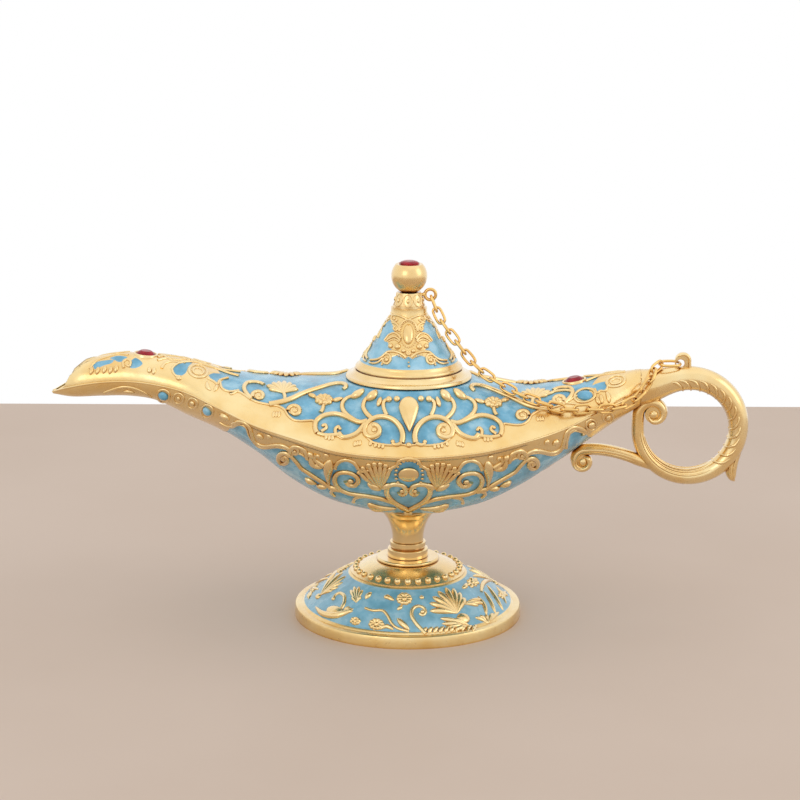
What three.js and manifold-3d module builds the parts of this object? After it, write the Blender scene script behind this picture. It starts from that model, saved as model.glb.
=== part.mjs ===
// Genie lamp: an enamelled, gilt oil lamp on a bolted foot, with a lift-off lid on a chain.
// Millimetres, +Z up. The spout points along -X, the handle along +X.

import * as THREE from 'three';
import { mergeVertices } from 'three/addons/utils/BufferGeometryUtils.js';
import Module from 'manifold-3d';

const wasm = await Module();
wasm.setup();

// Fits and facets
const SLIP_GAP = 0.3;
const PIN_GAP = 0.15;
const SEAM_GAP = 0.1;
const OVERRUN = 1;
const ROUND = 32;
const WIDE_ROUND = 40;
const SMALL_ROUND = 20;

// Foot, in heights from the ground
const FOOT_RADIUS = 34.8;
const FOOT_RIM_WIDTH = 1.9;
const FOOT_RIM_HEIGHT = 2.9;
const FOOT_LIP_HEIGHT = 3.7;
const FOOT_LIP_WIDTH = 2.1;
const FOOT_LIP_ROUND = 0.7;
const FOOT_TOP_RADIUS = 17.6;
const FOOT_HEIGHT = 13.5;
const FOOT_BULGE = 2;
const FOOT_WALL = 1.8;

// Stem stack on the foot
const SAUCER_HEIGHT = 3.7;
const SAUCER_EDGE = 0.7;
const SAUCER_TOP_RADIUS = 9.8;
const SAUCER_DOME = 0.9;
const BEAD_COUNT = 32;
const BEAD_RADIUS = 0.8;
const BEAD_INSET = 1.7;
const RING_RADIUS = 9.6;
const RING_HEIGHT = 1.1;
const KNOB_RADIUS = 6.2;
const KNOB_HEIGHT = 4.8;
const KNOB_BAND = 2.6;
const KNOB_GROOVE_RADIUS = 5;
const KNOB_GROOVE = 0.7;
const KNOB_TOP_RADIUS = 5.5;
const CUP_LOW_RADIUS = 4.75;
const CUP_TOP_RADIUS = 7.4;
const CUP_HEIGHT = 9.5;
const CUP_LIP = 0.8;

// Tie bolt that clamps foot, stem and hull
const BOLT_RADIUS = 2;
const BOLT_HEAD_RADIUS = 3.6;
const BOLT_HEAD_HEIGHT = 2;
const BOLT_TAIL = 1.5;
const NUT_RADIUS = 4;
const NUT_HEIGHT = 3;
const WASHER_RADIUS = 5.6;
const WASHER_THICKNESS = 0.8;
const HULL_PAD_RADIUS = 8;
const HULL_PAD_HEIGHT = 3;

// Body, in heights from the underside of the hull. Each row: distance along the lamp,
// half width at the rim, rim, ridge and keel heights, and how far the deck flares like a bell.
// The deck's ridge by the neck follows the neck's height.
const NECK_HEIGHT = 42.1;
const BODY_ROWS = [
  { x: -107.6, half: 0.6, rim: 37.1, ridge: 38.6, keel: 36.3, bell: 0 },
  { x: -101.5, half: 6, rim: 39.7, ridge: 45.6, keel: 35.6, bell: 0 },
  { x: -93, half: 7.5, rim: 41.4, ridge: 47.9, keel: 35.9, bell: 0 },
  { x: -84, half: 8.5, rim: 42, ridge: 49, keel: 36, bell: 0 },
  { x: -76, half: 9.3, rim: 41.3, ridge: 48.3, keel: 34.7, bell: 0 },
  { x: -66.5, half: 12, rim: 39.6, ridge: 46.9, keel: 30.2, bell: 0.1 },
  { x: -56, half: 18.8, rim: 36.4, ridge: 43.7, keel: 25.7, bell: 0.4 },
  { x: -45.5, half: 25, rim: 32.9, ridge: NECK_HEIGHT - 0.1, keel: 18.9, bell: 0.8 },
  { x: -34, half: 29.3, rim: 30.1, ridge: NECK_HEIGHT - 0.9, keel: 9.7, bell: 1 },
  { x: -20, half: 32.2, rim: 26.7, ridge: NECK_HEIGHT, keel: 2.9, bell: 1 },
  { x: 0, half: 33, rim: 25.2, ridge: NECK_HEIGHT + 7, keel: -0.3, bell: 1 },
  { x: 20, half: 30.4, rim: 26.1, ridge: NECK_HEIGHT - 0.4, keel: 2.4, bell: 1 },
  { x: 34, half: 24.8, rim: 28, ridge: NECK_HEIGHT - 2.8, keel: 8.7, bell: 0.9 },
  { x: 46, half: 18.6, rim: 30.5, ridge: NECK_HEIGHT - 1.6, keel: 16.8, bell: 0.6 },
  { x: 58, half: 12.2, rim: 34.9, ridge: 42.7, keel: 25.6, bell: 0.25 },
  { x: 70, half: 5.2, rim: 38.7, ridge: 44.6, keel: 33.5, bell: 0 },
];
const ROW_STEPS = 2;
const TAIL_ROWS = 3;
const SECTION_STEPS = 12;
const BODY_WALL = 1.6;
const RIM_FACE = 2;
const ROUND_POWER = 2;
const ROUND_ROOT = 0.5;
const DECK_BELL_POWER = 0.6;
const DECK_BELL_ROOT = 0.75;
const HULL_BELL_ROOT = 0.4;
const MOUTH_LOW = { x: -102.9, z: 38.3 };
const MOUTH_HIGH = { x: -95.3, z: 47.3 };
const MOUTH_CUT = 30;

// Raised scrolls cast with the shells, as distances along the lamp and shares of its half width.
// The other end and the other side of the lamp mirror each of them.
const RIB_WIDTH = 1.8;
const RIB_HEIGHT = 0.9;
const RIB_SIDES = 5;
const RIB_STEPS = 2;
const RIB_NUDGE = 0.01;
const BRIM_SCROLL = [[-2.8, 0.91], [-2.6, 0.84], [-6, 0.76], [-10.5, 0.74], [-13.5, 0.8], [-11.5, 0.87]];
const WAVE_SCROLL = [[-27.5, 0.88], [-27.5, 0.76], [-22.5, 0.68], [-17, 0.73], [-13, 0.75]];
const LONG_SCROLL = [[-41.5, 0.67], [-34, 0.49], [-27, 0.29], [-20, 0.25]];
const BUD_SCROLL = [[-16.5, 0.74], [-20, 0.62], [-19, 0.52], [-14, 0.47]];
const KEEL_SCROLL = [
  [-5, 0.58], [-12, 0.64], [-18.5, 0.62], [-22.3, 0.72], [-20, 0.86], [-16, 0.84], [-17, 0.75]];
const HEART_SCROLL = [[-1, 0.45], [-5.3, 0.6], [-7, 0.73], [-4.5, 0.81], [-1.6, 0.76]];
const BOW_SCROLL = [[-37.5, 0.74], [-35.5, 0.83], [-32.5, 0.74], [-24.2, 0.64]];
const DECK_OVAL = [[0, 0.63], [0, 0.7], [0, 0.84]];
const DECK_OVAL_WIDTH = 5.4;
const HULL_OVAL = [[0, 0.8], [0, 0.9], [0, 0.97]];
const HULL_OVAL_WIDTH = 5;
const HULL_FAN = [[-9.2, 0.72], [-9.7, 0.86], [-10.2, 0.95]];
const HULL_FAN_WIDTH = 8;

// Neck collar
const NECK_BLEND = 3;
const NECK_BORE = 14.2;
const COLLAR_RADIUS = 19;
const COLLAR_TOP_RADIUS = 16.5;
const COLLAR_EDGE = 0.5;
const COLLAR_HEIGHT = 2.6;
const COLLAR_SPIGOT = 3;
const COLLAR_WALL = 1.5;

// Red stones
const GEM_RADIUS = 3;
const GEM_HEIGHT = 1.6;
const GEM_SINK = 1.1;
const GEM_BEZEL = 0.9;
const GEM_SIDES = 12;
const SPOUT_GEM_X = -79.4;
const TAIL_GEM_X = 50.2;

// Lid, in heights from its seat on the collar
const LID_RADIUS = 16.1;
const LID_EDGE = 0.8;
const LID_SHOULDER_RADIUS = 14.8;
const LID_SHOULDER = 2.6;
const LID_TOP_RADIUS = 5.4;
const LID_CONE_HEIGHT = 16.8;
const LID_BAND = 1.9;
const LID_SAG = 0.5;
const LID_INNER_RADIUS = 12.2;
const LID_INNER_EDGE = 1.6;
const LID_INNER_TOP_RADIUS = 3.6;
const LID_CROWN = 3.6;
const REGISTER_DEPTH = 5.2;
const REGISTER_WALL = 1.7;

// Finial
const FINIAL_CUP_RADIUS = 4.9;
const FINIAL_CUP_FOOT = 0.8;
const FINIAL_CUP_TOP_RADIUS = 3.6;
const FINIAL_CUP_HEIGHT = 4.6;
const FINIAL_FLUTES = 10;
const FINIAL_FLUTE_DEPTH = 0.06;
const BALL_RADIUS = 5.4;
const BALL_FLAT_RADIUS = 2.3;
const BALL_GEM_RISE = 3.6;
const FINIAL_BOLT_RADIUS = 1.3;
const FINIAL_BOLT_HEAD_RADIUS = 2.6;
const FINIAL_BOLT_HEAD_HEIGHT = 1.4;
const FINIAL_BOLT_REACH = 3;
const EYE_RADIUS = 1.65;
const EYE_WIRE = 1;
const EYE_DROP = 0.8;
const EYE_SHANK = 2;
const EYE_SHANK_RADIUS = 0.5;

// Handle, measured from the middle of the tail's end face
const LOOP_RADIUS = 15.3;
const LOOP_CENTRE = { x: 14.9, z: -12.45 };
const LOOP_TOP_THICK = 7.4;
const LOOP_SIDE_THICK = 6;
const LOOP_LOW_THICK = 5;
const LOOP_END_THICK = 3.8;
const LOOP_DEPTH = 6.4;
const LOOP_END_DEPTH = 4.4;
const QUARTER_STEPS = 7;
const CURL_CENTRE = { x: 4.2, z: -8.35 };
const CURL_END_RADIUS = 2.1;
const CURL_END_THICK = 2.2;
const CURL_BALL_RADIUS = 1.8;
const TENON_LENGTH = 8;
const TENON_DROP = 2.6;
const TENON_THICK = 5;
const STRUT_START = { x: 6, z: -27.45 };
const STRUT_MIDDLE = { x: -5.5, z: -20 };
const STRUT_CURL = { x: -16.9, z: -23.25 };
const STRUT_THICK = 3.8;
const STRUT_DEPTH = 4.2;
const STRUT_CURL_RADIUS = 3.7;
const STRUT_CURL_SIDE_RADIUS = 2.5;
const STRUT_CURL_END_RADIUS = 1.9;
const STRUT_CURL_THICK = 3.6;
const STRUT_CURL_END_THICK = 2.2;
const STRUT_BALL_RADIUS = 1.4;
const LEAF_ROOT = { x: 29.4, z: -17.5 };
const LEAF_MIDDLE = { x: 30, z: -23.2 };
const LEAF_TIP = { x: 29.7, z: -29.2 };
const LEAF_THICK = 4.6;
const LEAF_MIDDLE_THICK = 3.4;
const LEAF_TIP_THICK = 1;
const LEAF_DEPTH = 4.4;
const EAR_SETBACK = 3;
const EAR_HOLE_LIFT = 0.9;
const EAR_HOLE = {
  x: LOOP_CENTRE.x - EAR_SETBACK,
  z: LOOP_CENTRE.z + LOOP_RADIUS + LOOP_TOP_THICK / 2 + EAR_HOLE_LIFT,
};
const EAR_HOLE_RADIUS = 1.25;
const EAR_RADIUS = 2.45;
const EAR_OFFSET = 0.8;
const EAR_RISE = 0.9;
const EAR_ROOT = 5;
const EAR_THICK = 1.4;

// Chain
const LINK_COUNT = 24;
const LINK_WIRE = 1;
const LINK_WIDTH = 3.6;
const LINK_GAP = 0.3;
const EAR_RING_PITCH = 6.2;
const EAR_RING_WIDTH = 5.8;
const EAR_RING_TILT = 0.12;
const LINK_STEPS = 12;
const LINK_SIDES = 5;
const CHAIN_LIE = 2.45;
const EYE_PULL_ANGLE = THREE.MathUtils.degToRad(-65);

// Heights of the stack, from the ground up
const SAUCER_Z = FOOT_HEIGHT;
const RING_Z = SAUCER_Z + SAUCER_HEIGHT;
const KNOB_Z = RING_Z + RING_HEIGHT;
const CUP_Z = KNOB_Z + KNOB_HEIGHT;
const HULL_Z = CUP_Z + CUP_HEIGHT;
const BOLT_HOLE = BOLT_RADIUS + SLIP_GAP;

const NECK_HOLE = NECK_BORE + COLLAR_WALL + SLIP_GAP;
const LID_Z = NECK_HEIGHT + COLLAR_HEIGHT;
const LID_HEIGHT = LID_CONE_HEIGHT + LID_BAND;
const BALL_SEAT = LID_HEIGHT + FINIAL_CUP_HEIGHT;
const BALL_Z = BALL_SEAT + Math.sqrt(BALL_RADIUS ** 2 - BALL_FLAT_RADIUS ** 2);
const EYE_Z = BALL_SEAT - EYE_DROP;
const EYE_X = FINIAL_CUP_TOP_RADIUS + 2 * SLIP_GAP + EYE_WIRE / 2 + EYE_RADIUS;

const SPOUT_TIP_X = BODY_ROWS[0].x;
const TAIL = BODY_ROWS[BODY_ROWS.length - 1];
const TAIL_Z = (TAIL.ridge + TAIL.keel) / 2;
const HANDLE_END_X = TAIL.x + LOOP_CENTRE.x + LOOP_RADIUS + LOOP_SIDE_THICK / 2;
const LAMP_AXIS_X = -(SPOUT_TIP_X + HANDLE_END_X) / 2;

const GILT = { color: '#d8b468', roughness: 0.32, metalness: 0.9 };
const POLISHED_GILT = { color: '#e0bf6e', roughness: 0.14, metalness: 1 };
const ENAMEL = { color: '#6fb6d4', roughness: 0.35, metalness: 0.15 };
const STEEL = { color: '#9a9690', roughness: 0.45, metalness: 0.9 };
const RED_GLASS = { color: '#a30d22', roughness: 0.05, metalness: 0 };

function mesh(name, shape, finish) {
  const geometry = shape.isBufferGeometry ? shape : toGeometry(shape);
  const piece = new THREE.Mesh(geometry, new THREE.MeshStandardMaterial(finish));
  piece.name = name;
  return piece;
}

function toSolid(geometry) {
  const bare = new THREE.BufferGeometry();
  bare.setAttribute('position', geometry.getAttribute('position'));
  bare.setIndex(geometry.getIndex());
  const merged = mergeVertices(bare);
  const vertices = merged.getAttribute('position').array;
  const triangles = [];
  let volume = 0;
  for (let i = 0; i < merged.index.count; i += 3) {
    const [a, b, c] = [0, 1, 2].map((k) => merged.index.getX(i + k));
    if (a !== b && b !== c && c !== a) {
      triangles.push(a, b, c);
      const [p, q, r] = [a, b, c].map((k) => new THREE.Vector3().fromArray(vertices, 3 * k));
      volume += p.dot(q.cross(r));
    }
  }
  if (volume < 0) triangles.reverse();
  return new wasm.Manifold(new wasm.Mesh({
    numProp: 3,
    vertProperties: new Float32Array(vertices),
    triVerts: new Uint32Array(triangles),
  }));
}

function toGeometry(solid) {
  const { numProp, vertProperties, triVerts } = solid.getMesh();
  const positions = [];
  for (let i = 0; i < vertProperties.length; i += numProp) {
    positions.push(vertProperties[i], vertProperties[i + 1], vertProperties[i + 2]);
  }
  const geometry = new THREE.BufferGeometry();
  geometry.setAttribute('position', new THREE.Float32BufferAttribute(positions, 3));
  geometry.setIndex([...triVerts]);
  geometry.computeVertexNormals();
  return geometry;
}

// A solid of revolution about Z. The profile runs from axis to axis, or is closed on itself.
function turned(profile, segments = ROUND) {
  const open = profile[0][0] === 0;
  const outline = open ? profile : [...profile, profile[0]];
  const points = outline.map(([r, z]) => new THREE.Vector2(r, z));
  return toSolid(new THREE.LatheGeometry(points, segments).rotateX(Math.PI / 2));
}

function disc(radius, low, high, segments = SMALL_ROUND) {
  const geometry = new THREE.CylinderGeometry(radius, radius, high - low, segments);
  return toSolid(geometry.rotateX(Math.PI / 2)).translate([0, 0, (low + high) / 2]);
}

function ball(radius, segments = SMALL_ROUND) {
  return toSolid(new THREE.SphereGeometry(radius, segments, segments / 2).rotateX(Math.PI / 2));
}

function curvePoints(start, control, end, steps) {
  const curve = new THREE.QuadraticBezierCurve(
    new THREE.Vector2(...start), new THREE.Vector2(...control), new THREE.Vector2(...end));
  return curve.getPoints(steps).map((p) => [p.x, p.y]);
}

function between(from, to, share) {
  return THREE.MathUtils.lerp(from, to, share);
}

// Foot: a hollow spun dish with an upright gilt rim and a flat crown under the saucer
function foot() {
  const lip = FOOT_RADIUS - FOOT_LIP_WIDTH;
  const middle = [(lip + FOOT_TOP_RADIUS) / 2, (FOOT_LIP_HEIGHT + FOOT_HEIGHT) / 2 + FOOT_BULGE];
  const shoulder = curvePoints([lip, FOOT_LIP_HEIGHT], middle, [FOOT_TOP_RADIUS, FOOT_HEIGHT], 4);
  const under = shoulder.map(([r, z]) => [r - FOOT_WALL / 2, z - FOOT_WALL]).reverse();
  return turned([
    [FOOT_RADIUS - FOOT_RIM_WIDTH, 0],
    [FOOT_RADIUS, 0],
    [FOOT_RADIUS, FOOT_RIM_HEIGHT],
    [FOOT_RADIUS - FOOT_LIP_ROUND, FOOT_LIP_HEIGHT],
    ...shoulder,
    [BOLT_HOLE, FOOT_HEIGHT],
    [BOLT_HOLE, FOOT_HEIGHT - FOOT_WALL],
    ...under,
  ], WIDE_ROUND);
}

// Saucer: a low dome with a ring of beads inside its edge
function saucer() {
  const edge = FOOT_TOP_RADIUS;
  const start = [edge - SAUCER_EDGE, SAUCER_EDGE];
  const end = [SAUCER_TOP_RADIUS, SAUCER_HEIGHT];
  const middle = [(start[0] + end[0]) / 2, (start[1] + end[1]) / 2 + SAUCER_DOME];
  let solid = turned([
    [BOLT_HOLE, 0],
    [edge, 0],
    [edge, SAUCER_EDGE / 2],
    ...curvePoints(start, middle, end, 4),
    [BOLT_HOLE, SAUCER_HEIGHT],
  ], WIDE_ROUND);
  const share = (BEAD_INSET - SAUCER_EDGE) / (start[0] - end[0]);
  const height = between(start[1], end[1], share) + SAUCER_DOME * share;
  const bead = toSolid(new THREE.SphereGeometry(BEAD_RADIUS, 6, 4).rotateX(Math.PI / 2));
  for (let i = 0; i < BEAD_COUNT; i++) {
    const turn = (2 * Math.PI * i) / BEAD_COUNT;
    const reach = edge - BEAD_INSET;
    solid = solid.add(bead.translate([reach * Math.cos(turn), reach * Math.sin(turn), height]));
  }
  return solid;
}

// Stem: a thin ring, a grooved knob and a flared cup under the hull
function stemRing() {
  const round = RING_HEIGHT / 4;
  return turned([
    [BOLT_HOLE, 0],
    [RING_RADIUS - round, 0],
    [RING_RADIUS, round],
    [RING_RADIUS, RING_HEIGHT - round],
    [RING_RADIUS - round, RING_HEIGHT],
    [BOLT_HOLE, RING_HEIGHT],
  ]);
}

function stemKnob() {
  const grooveTop = KNOB_BAND + KNOB_GROOVE;
  return turned([
    [BOLT_HOLE, 0],
    [KNOB_RADIUS, 0],
    [KNOB_RADIUS, KNOB_BAND],
    [KNOB_GROOVE_RADIUS, KNOB_BAND + KNOB_GROOVE / 2],
    [KNOB_GROOVE_RADIUS, grooveTop],
    [KNOB_TOP_RADIUS, grooveTop],
    [KNOB_TOP_RADIUS, KNOB_HEIGHT],
    [BOLT_HOLE, KNOB_HEIGHT],
  ], 32);
}

function stemCup() {
  const lip = CUP_HEIGHT - CUP_LIP;
  const flare = curvePoints([CUP_LOW_RADIUS, 0], [CUP_LOW_RADIUS, lip * 0.6], [CUP_TOP_RADIUS, lip], 6);
  return turned([
    [BOLT_HOLE, 0],
    ...flare,
    [CUP_TOP_RADIUS, CUP_HEIGHT],
    [BOLT_HOLE, CUP_HEIGHT],
  ], 32);
}

// Tie bolt from the hull's pad down to a nut under the foot's crown
function tieBolt() {
  const low = FOOT_HEIGHT - FOOT_WALL - WASHER_THICKNESS - NUT_HEIGHT - BOLT_TAIL;
  const seat = HULL_Z + HULL_PAD_HEIGHT;
  const round = BOLT_HEAD_HEIGHT / 2;
  return turned([
    [0, low],
    [BOLT_RADIUS, low],
    [BOLT_RADIUS, seat],
    [BOLT_HEAD_RADIUS, seat],
    [BOLT_HEAD_RADIUS, seat + round],
    [BOLT_RADIUS, seat + BOLT_HEAD_HEIGHT],
    [0, seat + BOLT_HEAD_HEIGHT],
  ], SMALL_ROUND);
}

function washer() {
  const hole = BOLT_RADIUS + PIN_GAP;
  return turned([
    [hole, -WASHER_THICKNESS],
    [WASHER_RADIUS, -WASHER_THICKNESS],
    [WASHER_RADIUS, 0],
    [hole, 0],
  ], SMALL_ROUND);
}

function nut() {
  const block = disc(NUT_RADIUS, -NUT_HEIGHT, 0, 6);
  return block.subtract(disc(BOLT_RADIUS + PIN_GAP, -NUT_HEIGHT - OVERRUN, OVERRUN));
}

// The body's rim, ridge and keel at any distance along the lamp
function bodyAt(x) {
  const last = BODY_ROWS.length - 2;
  const i = Math.min(last, Math.max(0, BODY_ROWS.findIndex((row) => row.x >= x) - 1));
  const [a, b] = [BODY_ROWS[i], BODY_ROWS[i + 1]];
  const span = b.x - a.x;
  const t = (x - a.x) / span;
  const at = {};
  for (const key of ['half', 'rim', 'ridge', 'keel', 'bell']) {
    const [m, n] = [span * rowSlope(i, key), span * rowSlope(i + 1, key)];
    const [c, d] = [3 * (b[key] - a[key]) - 2 * m - n, 2 * (a[key] - b[key]) + m + n];
    at[key] = a[key] + t * (m + t * (c + t * d));
  }
  return at;
}

function rowSlope(i, key) {
  const a = BODY_ROWS[Math.max(0, i - 1)];
  const b = BODY_ROWS[Math.min(BODY_ROWS.length - 1, i + 1)];
  return (b[key] - a[key]) / (b.x - a.x);
}

// Height of the deck at a share of its half width, on the outside or one wall further in
function deckHeight(x, share, wall = 0) {
  const at = bodyAt(x);
  const half = at.half * Math.abs(share);
  const power = ROUND_POWER + DECK_BELL_POWER * at.bell;
  const root = ROUND_ROOT + DECK_BELL_ROOT * at.bell;
  const rise = (1 - Math.min(1, Math.abs(share)) ** power) ** root;
  const free = at.rim + (at.ridge - wall - at.rim) * rise;
  const blend = THREE.MathUtils.smoothstep(
    Math.hypot(x, half), COLLAR_RADIUS, COLLAR_RADIUS + NECK_BLEND);
  return between(NECK_HEIGHT - wall, free, blend);
}

function hullHeight(x, share, wall = 0) {
  const at = bodyAt(x);
  const root = ROUND_ROOT + HULL_BELL_ROOT * at.bell;
  const depth = at.rim - SEAM_GAP - at.keel - wall;
  return at.rim - SEAM_GAP - depth * (1 - Math.min(1, Math.abs(share)) ** 2) ** root;
}

// A thin half of the body: an outer and an inner sheet joined along the rim and the ends
function bodyShell(heightAt, firstRow) {
  const stations = [];
  for (let i = firstRow; i < BODY_ROWS.length - 1; i++) {
    for (let k = 0; k < ROW_STEPS; k++) {
      stations.push(between(BODY_ROWS[i].x, BODY_ROWS[i + 1].x, k / ROW_STEPS));
    }
  }
  stations.push(TAIL.x);
  const columns = SECTION_STEPS + 1;
  const sheetSize = stations.length * columns;
  const positions = [];
  for (const inside of [0, 1]) {
    for (const x of stations) {
      const { half, rim, keel } = bodyAt(x);
      const face = inside * Math.min(RIM_FACE, half / 2);
      const wall = inside * Math.min(BODY_WALL, (rim - keel) / 2);
      for (let j = 0; j < columns; j++) {
        const share = -Math.cos((Math.PI * j) / SECTION_STEPS);
        positions.push(x, (half - face) * share, heightAt(x, share, wall));
      }
    }
  }
  const faces = [];
  const quad = (a, b, c, d) => faces.push(a, b, c, a, c, d);
  for (let i = 0; i + 1 < stations.length; i++) {
    for (let j = 0; j + 1 < columns; j++) {
      const a = i * columns + j;
      quad(a, a + columns, a + columns + 1, a + 1);
      const b = sheetSize + a;
      quad(b, b + 1, b + columns + 1, b + columns);
    }
    for (const [j, flip] of [[0, false], [SECTION_STEPS, true]]) {
      const a = i * columns + j;
      const strip = [a, sheetSize + a, sheetSize + a + columns, a + columns];
      quad(...(flip ? strip.reverse() : strip));
    }
  }
  for (const [i, flip] of [[0, true], [stations.length - 1, false]]) {
    for (let j = 0; j + 1 < columns; j++) {
      const a = i * columns + j;
      const strip = [a, sheetSize + a, sheetSize + a + 1, a + 1];
      quad(...(flip ? strip.reverse() : strip));
    }
  }
  const geometry = new THREE.BufferGeometry();
  geometry.setAttribute('position', new THREE.Float32BufferAttribute(positions, 3));
  geometry.setIndex(faces);
  return toSolid(geometry);
}

// A raised rib along a shell, half sunk in its face, with a width for each share of its length
function rib(heightAt, outward, path, widthAt) {
  const spot = (x, share) => new THREE.Vector3(x, bodyAt(x).half * share, heightAt(x, share));
  const line = new THREE.CatmullRomCurve3(path.map(([x, share]) => new THREE.Vector3(x, share, 0)));
  const steps = RIB_STEPS * (path.length - 1);
  const stations = line.getPoints(steps);
  const positions = [];
  const faces = [];
  stations.forEach((at, i) => {
    const [before, after] = [stations[Math.max(0, i - 1)], stations[Math.min(steps, i + 1)]];
    const along = spot(after.x, after.y).sub(spot(before.x, before.y)).normalize();
    const forward = spot(at.x + RIB_NUDGE, at.y).sub(spot(at.x - RIB_NUDGE, at.y));
    const aside = spot(at.x, at.y + RIB_NUDGE).sub(spot(at.x, at.y - RIB_NUDGE));
    const normal = forward.cross(aside).normalize().multiplyScalar(outward);
    const across = normal.clone().cross(along).multiplyScalar(widthAt(i / steps) / 2);
    for (let k = 0; k < RIB_SIDES; k++) {
      const turn = (2 * Math.PI * (k + 0.25)) / RIB_SIDES;
      const corner = spot(at.x, at.y)
        .addScaledVector(across, Math.cos(turn)).addScaledVector(normal, RIB_HEIGHT * Math.sin(turn));
      positions.push(corner.x, corner.y, corner.z);
      const next = (k + 1) % RIB_SIDES;
      const [a, b] = [(i - 1) * RIB_SIDES, i * RIB_SIDES];
      if (i > 0) faces.push(a + k, b + k, b + next, a + k, b + next, a + next);
    }
  });
  const end = steps * RIB_SIDES;
  for (let k = 1; k + 1 < RIB_SIDES; k++) {
    faces.push(0, k, k + 1, end, end + k + 1, end + k);
  }
  const geometry = new THREE.BufferGeometry();
  geometry.setAttribute('position', new THREE.Float32BufferAttribute(positions, 3));
  geometry.setIndex(faces);
  return toSolid(geometry);
}

function spindle(width, share) {
  return Math.max(RIB_HEIGHT, width * Math.sin(Math.PI * share));
}

// A scroll's path on the spout's end at both sides, then on the tail's end, the front last
function mirrored(path) {
  return [[1, 1], [1, -1], [-1, 1], [-1, -1]].map(
    ([along, across]) => path.map(([x, share]) => [along * x, across * share]));
}

// Lower shell: the boat-shaped hull and the spout's under side, with a flat pad for the bolt
function lowerShell() {
  const ground = disc(HULL_PAD_RADIUS, -OVERRUN - HULL_PAD_HEIGHT, 0);
  const pad = disc(HULL_PAD_RADIUS, 0, HULL_PAD_HEIGHT);
  const hole = disc(BOLT_HOLE, -OVERRUN, HULL_PAD_HEIGHT + OVERRUN);
  let solid = bodyShell(hullHeight, 0).subtract(ground).add(pad).subtract(hole);
  for (const path of [KEEL_SCROLL, HEART_SCROLL, BOW_SCROLL].flatMap(mirrored)) {
    solid = solid.add(rib(hullHeight, -1, path, () => RIB_WIDTH));
  }
  for (const path of mirrored(HULL_FAN)) {
    solid = solid.add(rib(hullHeight, -1, path, (share) => between(RIB_WIDTH, HULL_FAN_WIDTH, share)));
  }
  for (const path of mirrored(HULL_OVAL).slice(0, 2)) {
    solid = solid.add(rib(hullHeight, -1, path, (share) => spindle(HULL_OVAL_WIDTH, share)));
  }
  return solid;
}

// Upper shell: the deck, cut on a slant at the spout's mouth and open at the neck
function upperShell() {
  const lean = Math.atan2(MOUTH_HIGH.x - MOUTH_LOW.x, MOUTH_HIGH.z - MOUTH_LOW.z);
  const cut = new THREE.BoxGeometry(MOUTH_CUT, MOUTH_CUT, 2 * MOUTH_CUT)
    .translate(-MOUTH_CUT / 2, 0, 0).rotateY(lean).translate(MOUTH_LOW.x, 0, MOUTH_LOW.z);
  const neck = disc(NECK_HOLE, NECK_HEIGHT - 2 * BODY_WALL, NECK_HEIGHT + 2 * BODY_WALL, ROUND);
  let solid = bodyShell(deckHeight, 0).subtract(toSolid(cut)).subtract(neck);
  for (const x of [SPOUT_GEM_X, TAIL_GEM_X]) {
    const seat = gemSeat(x);
    const bezel = disc(GEM_RADIUS + GEM_BEZEL, seat - GEM_SINK / 2, seat + GEM_SINK);
    const pocket = disc(GEM_RADIUS + PIN_GAP, seat, seat + GEM_SINK + OVERRUN);
    solid = solid.add(bezel.translate([x, 0, 0])).subtract(pocket.translate([x, 0, 0]));
  }
  // The chain lies where the last long scroll would be, so that one is left out
  const scrolls = [BRIM_SCROLL, WAVE_SCROLL, BUD_SCROLL].flatMap(mirrored);
  for (const path of [...scrolls, ...mirrored(LONG_SCROLL).slice(0, 3)]) {
    solid = solid.add(rib(deckHeight, 1, path, () => RIB_WIDTH));
  }
  for (const path of mirrored(DECK_OVAL).slice(0, 2)) {
    solid = solid.add(rib(deckHeight, 1, path, (share) => spindle(DECK_OVAL_WIDTH, share)));
  }
  return solid;
}

function gemSeat(x) {
  return deckHeight(x, 0) - GEM_SINK;
}

function gem() {
  const girdle = GEM_HEIGHT * 0.4;
  return turned([
    [0, 0],
    [GEM_RADIUS, 0],
    [GEM_RADIUS, girdle],
    [GEM_RADIUS * 0.62, GEM_HEIGHT],
    [0, GEM_HEIGHT],
  ], GEM_SIDES);
}

// Neck collar: a sloping ring on the deck with a spigot through it and a bore for the lid
function neckCollar() {
  const spigot = NECK_BORE + COLLAR_WALL;
  return turned([
    [NECK_BORE, -COLLAR_SPIGOT],
    [spigot, -COLLAR_SPIGOT],
    [spigot, 0],
    [COLLAR_RADIUS, 0],
    [COLLAR_RADIUS, COLLAR_EDGE],
    [COLLAR_TOP_RADIUS, COLLAR_HEIGHT],
    [NECK_BORE, COLLAR_HEIGHT],
  ]);
}

// Lid: a hollow, slightly hollow-sided cone with a plain edge and a plain band at the top
function lidCone() {
  const start = [LID_SHOULDER_RADIUS, LID_SHOULDER];
  const end = [LID_TOP_RADIUS, LID_CONE_HEIGHT];
  const middle = [(start[0] + end[0]) / 2 - LID_SAG, (start[1] + end[1]) / 2 - LID_SAG];
  const crown = LID_HEIGHT - LID_CROWN;
  const inner = curvePoints(
    [LID_INNER_TOP_RADIUS, crown],
    [(LID_INNER_TOP_RADIUS + LID_INNER_RADIUS) / 2 - LID_SAG, (crown + LID_INNER_EDGE) / 2 - LID_SAG],
    [LID_INNER_RADIUS, LID_INNER_EDGE], 3);
  const hole = FINIAL_BOLT_RADIUS + PIN_GAP;
  return turned([
    [LID_INNER_RADIUS, 0],
    [LID_RADIUS, 0],
    [LID_RADIUS, LID_EDGE],
    ...curvePoints(start, middle, end, 4),
    [LID_TOP_RADIUS, LID_HEIGHT],
    [hole, LID_HEIGHT],
    [hole, crown],
    ...inner,
  ]);
}

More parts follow.
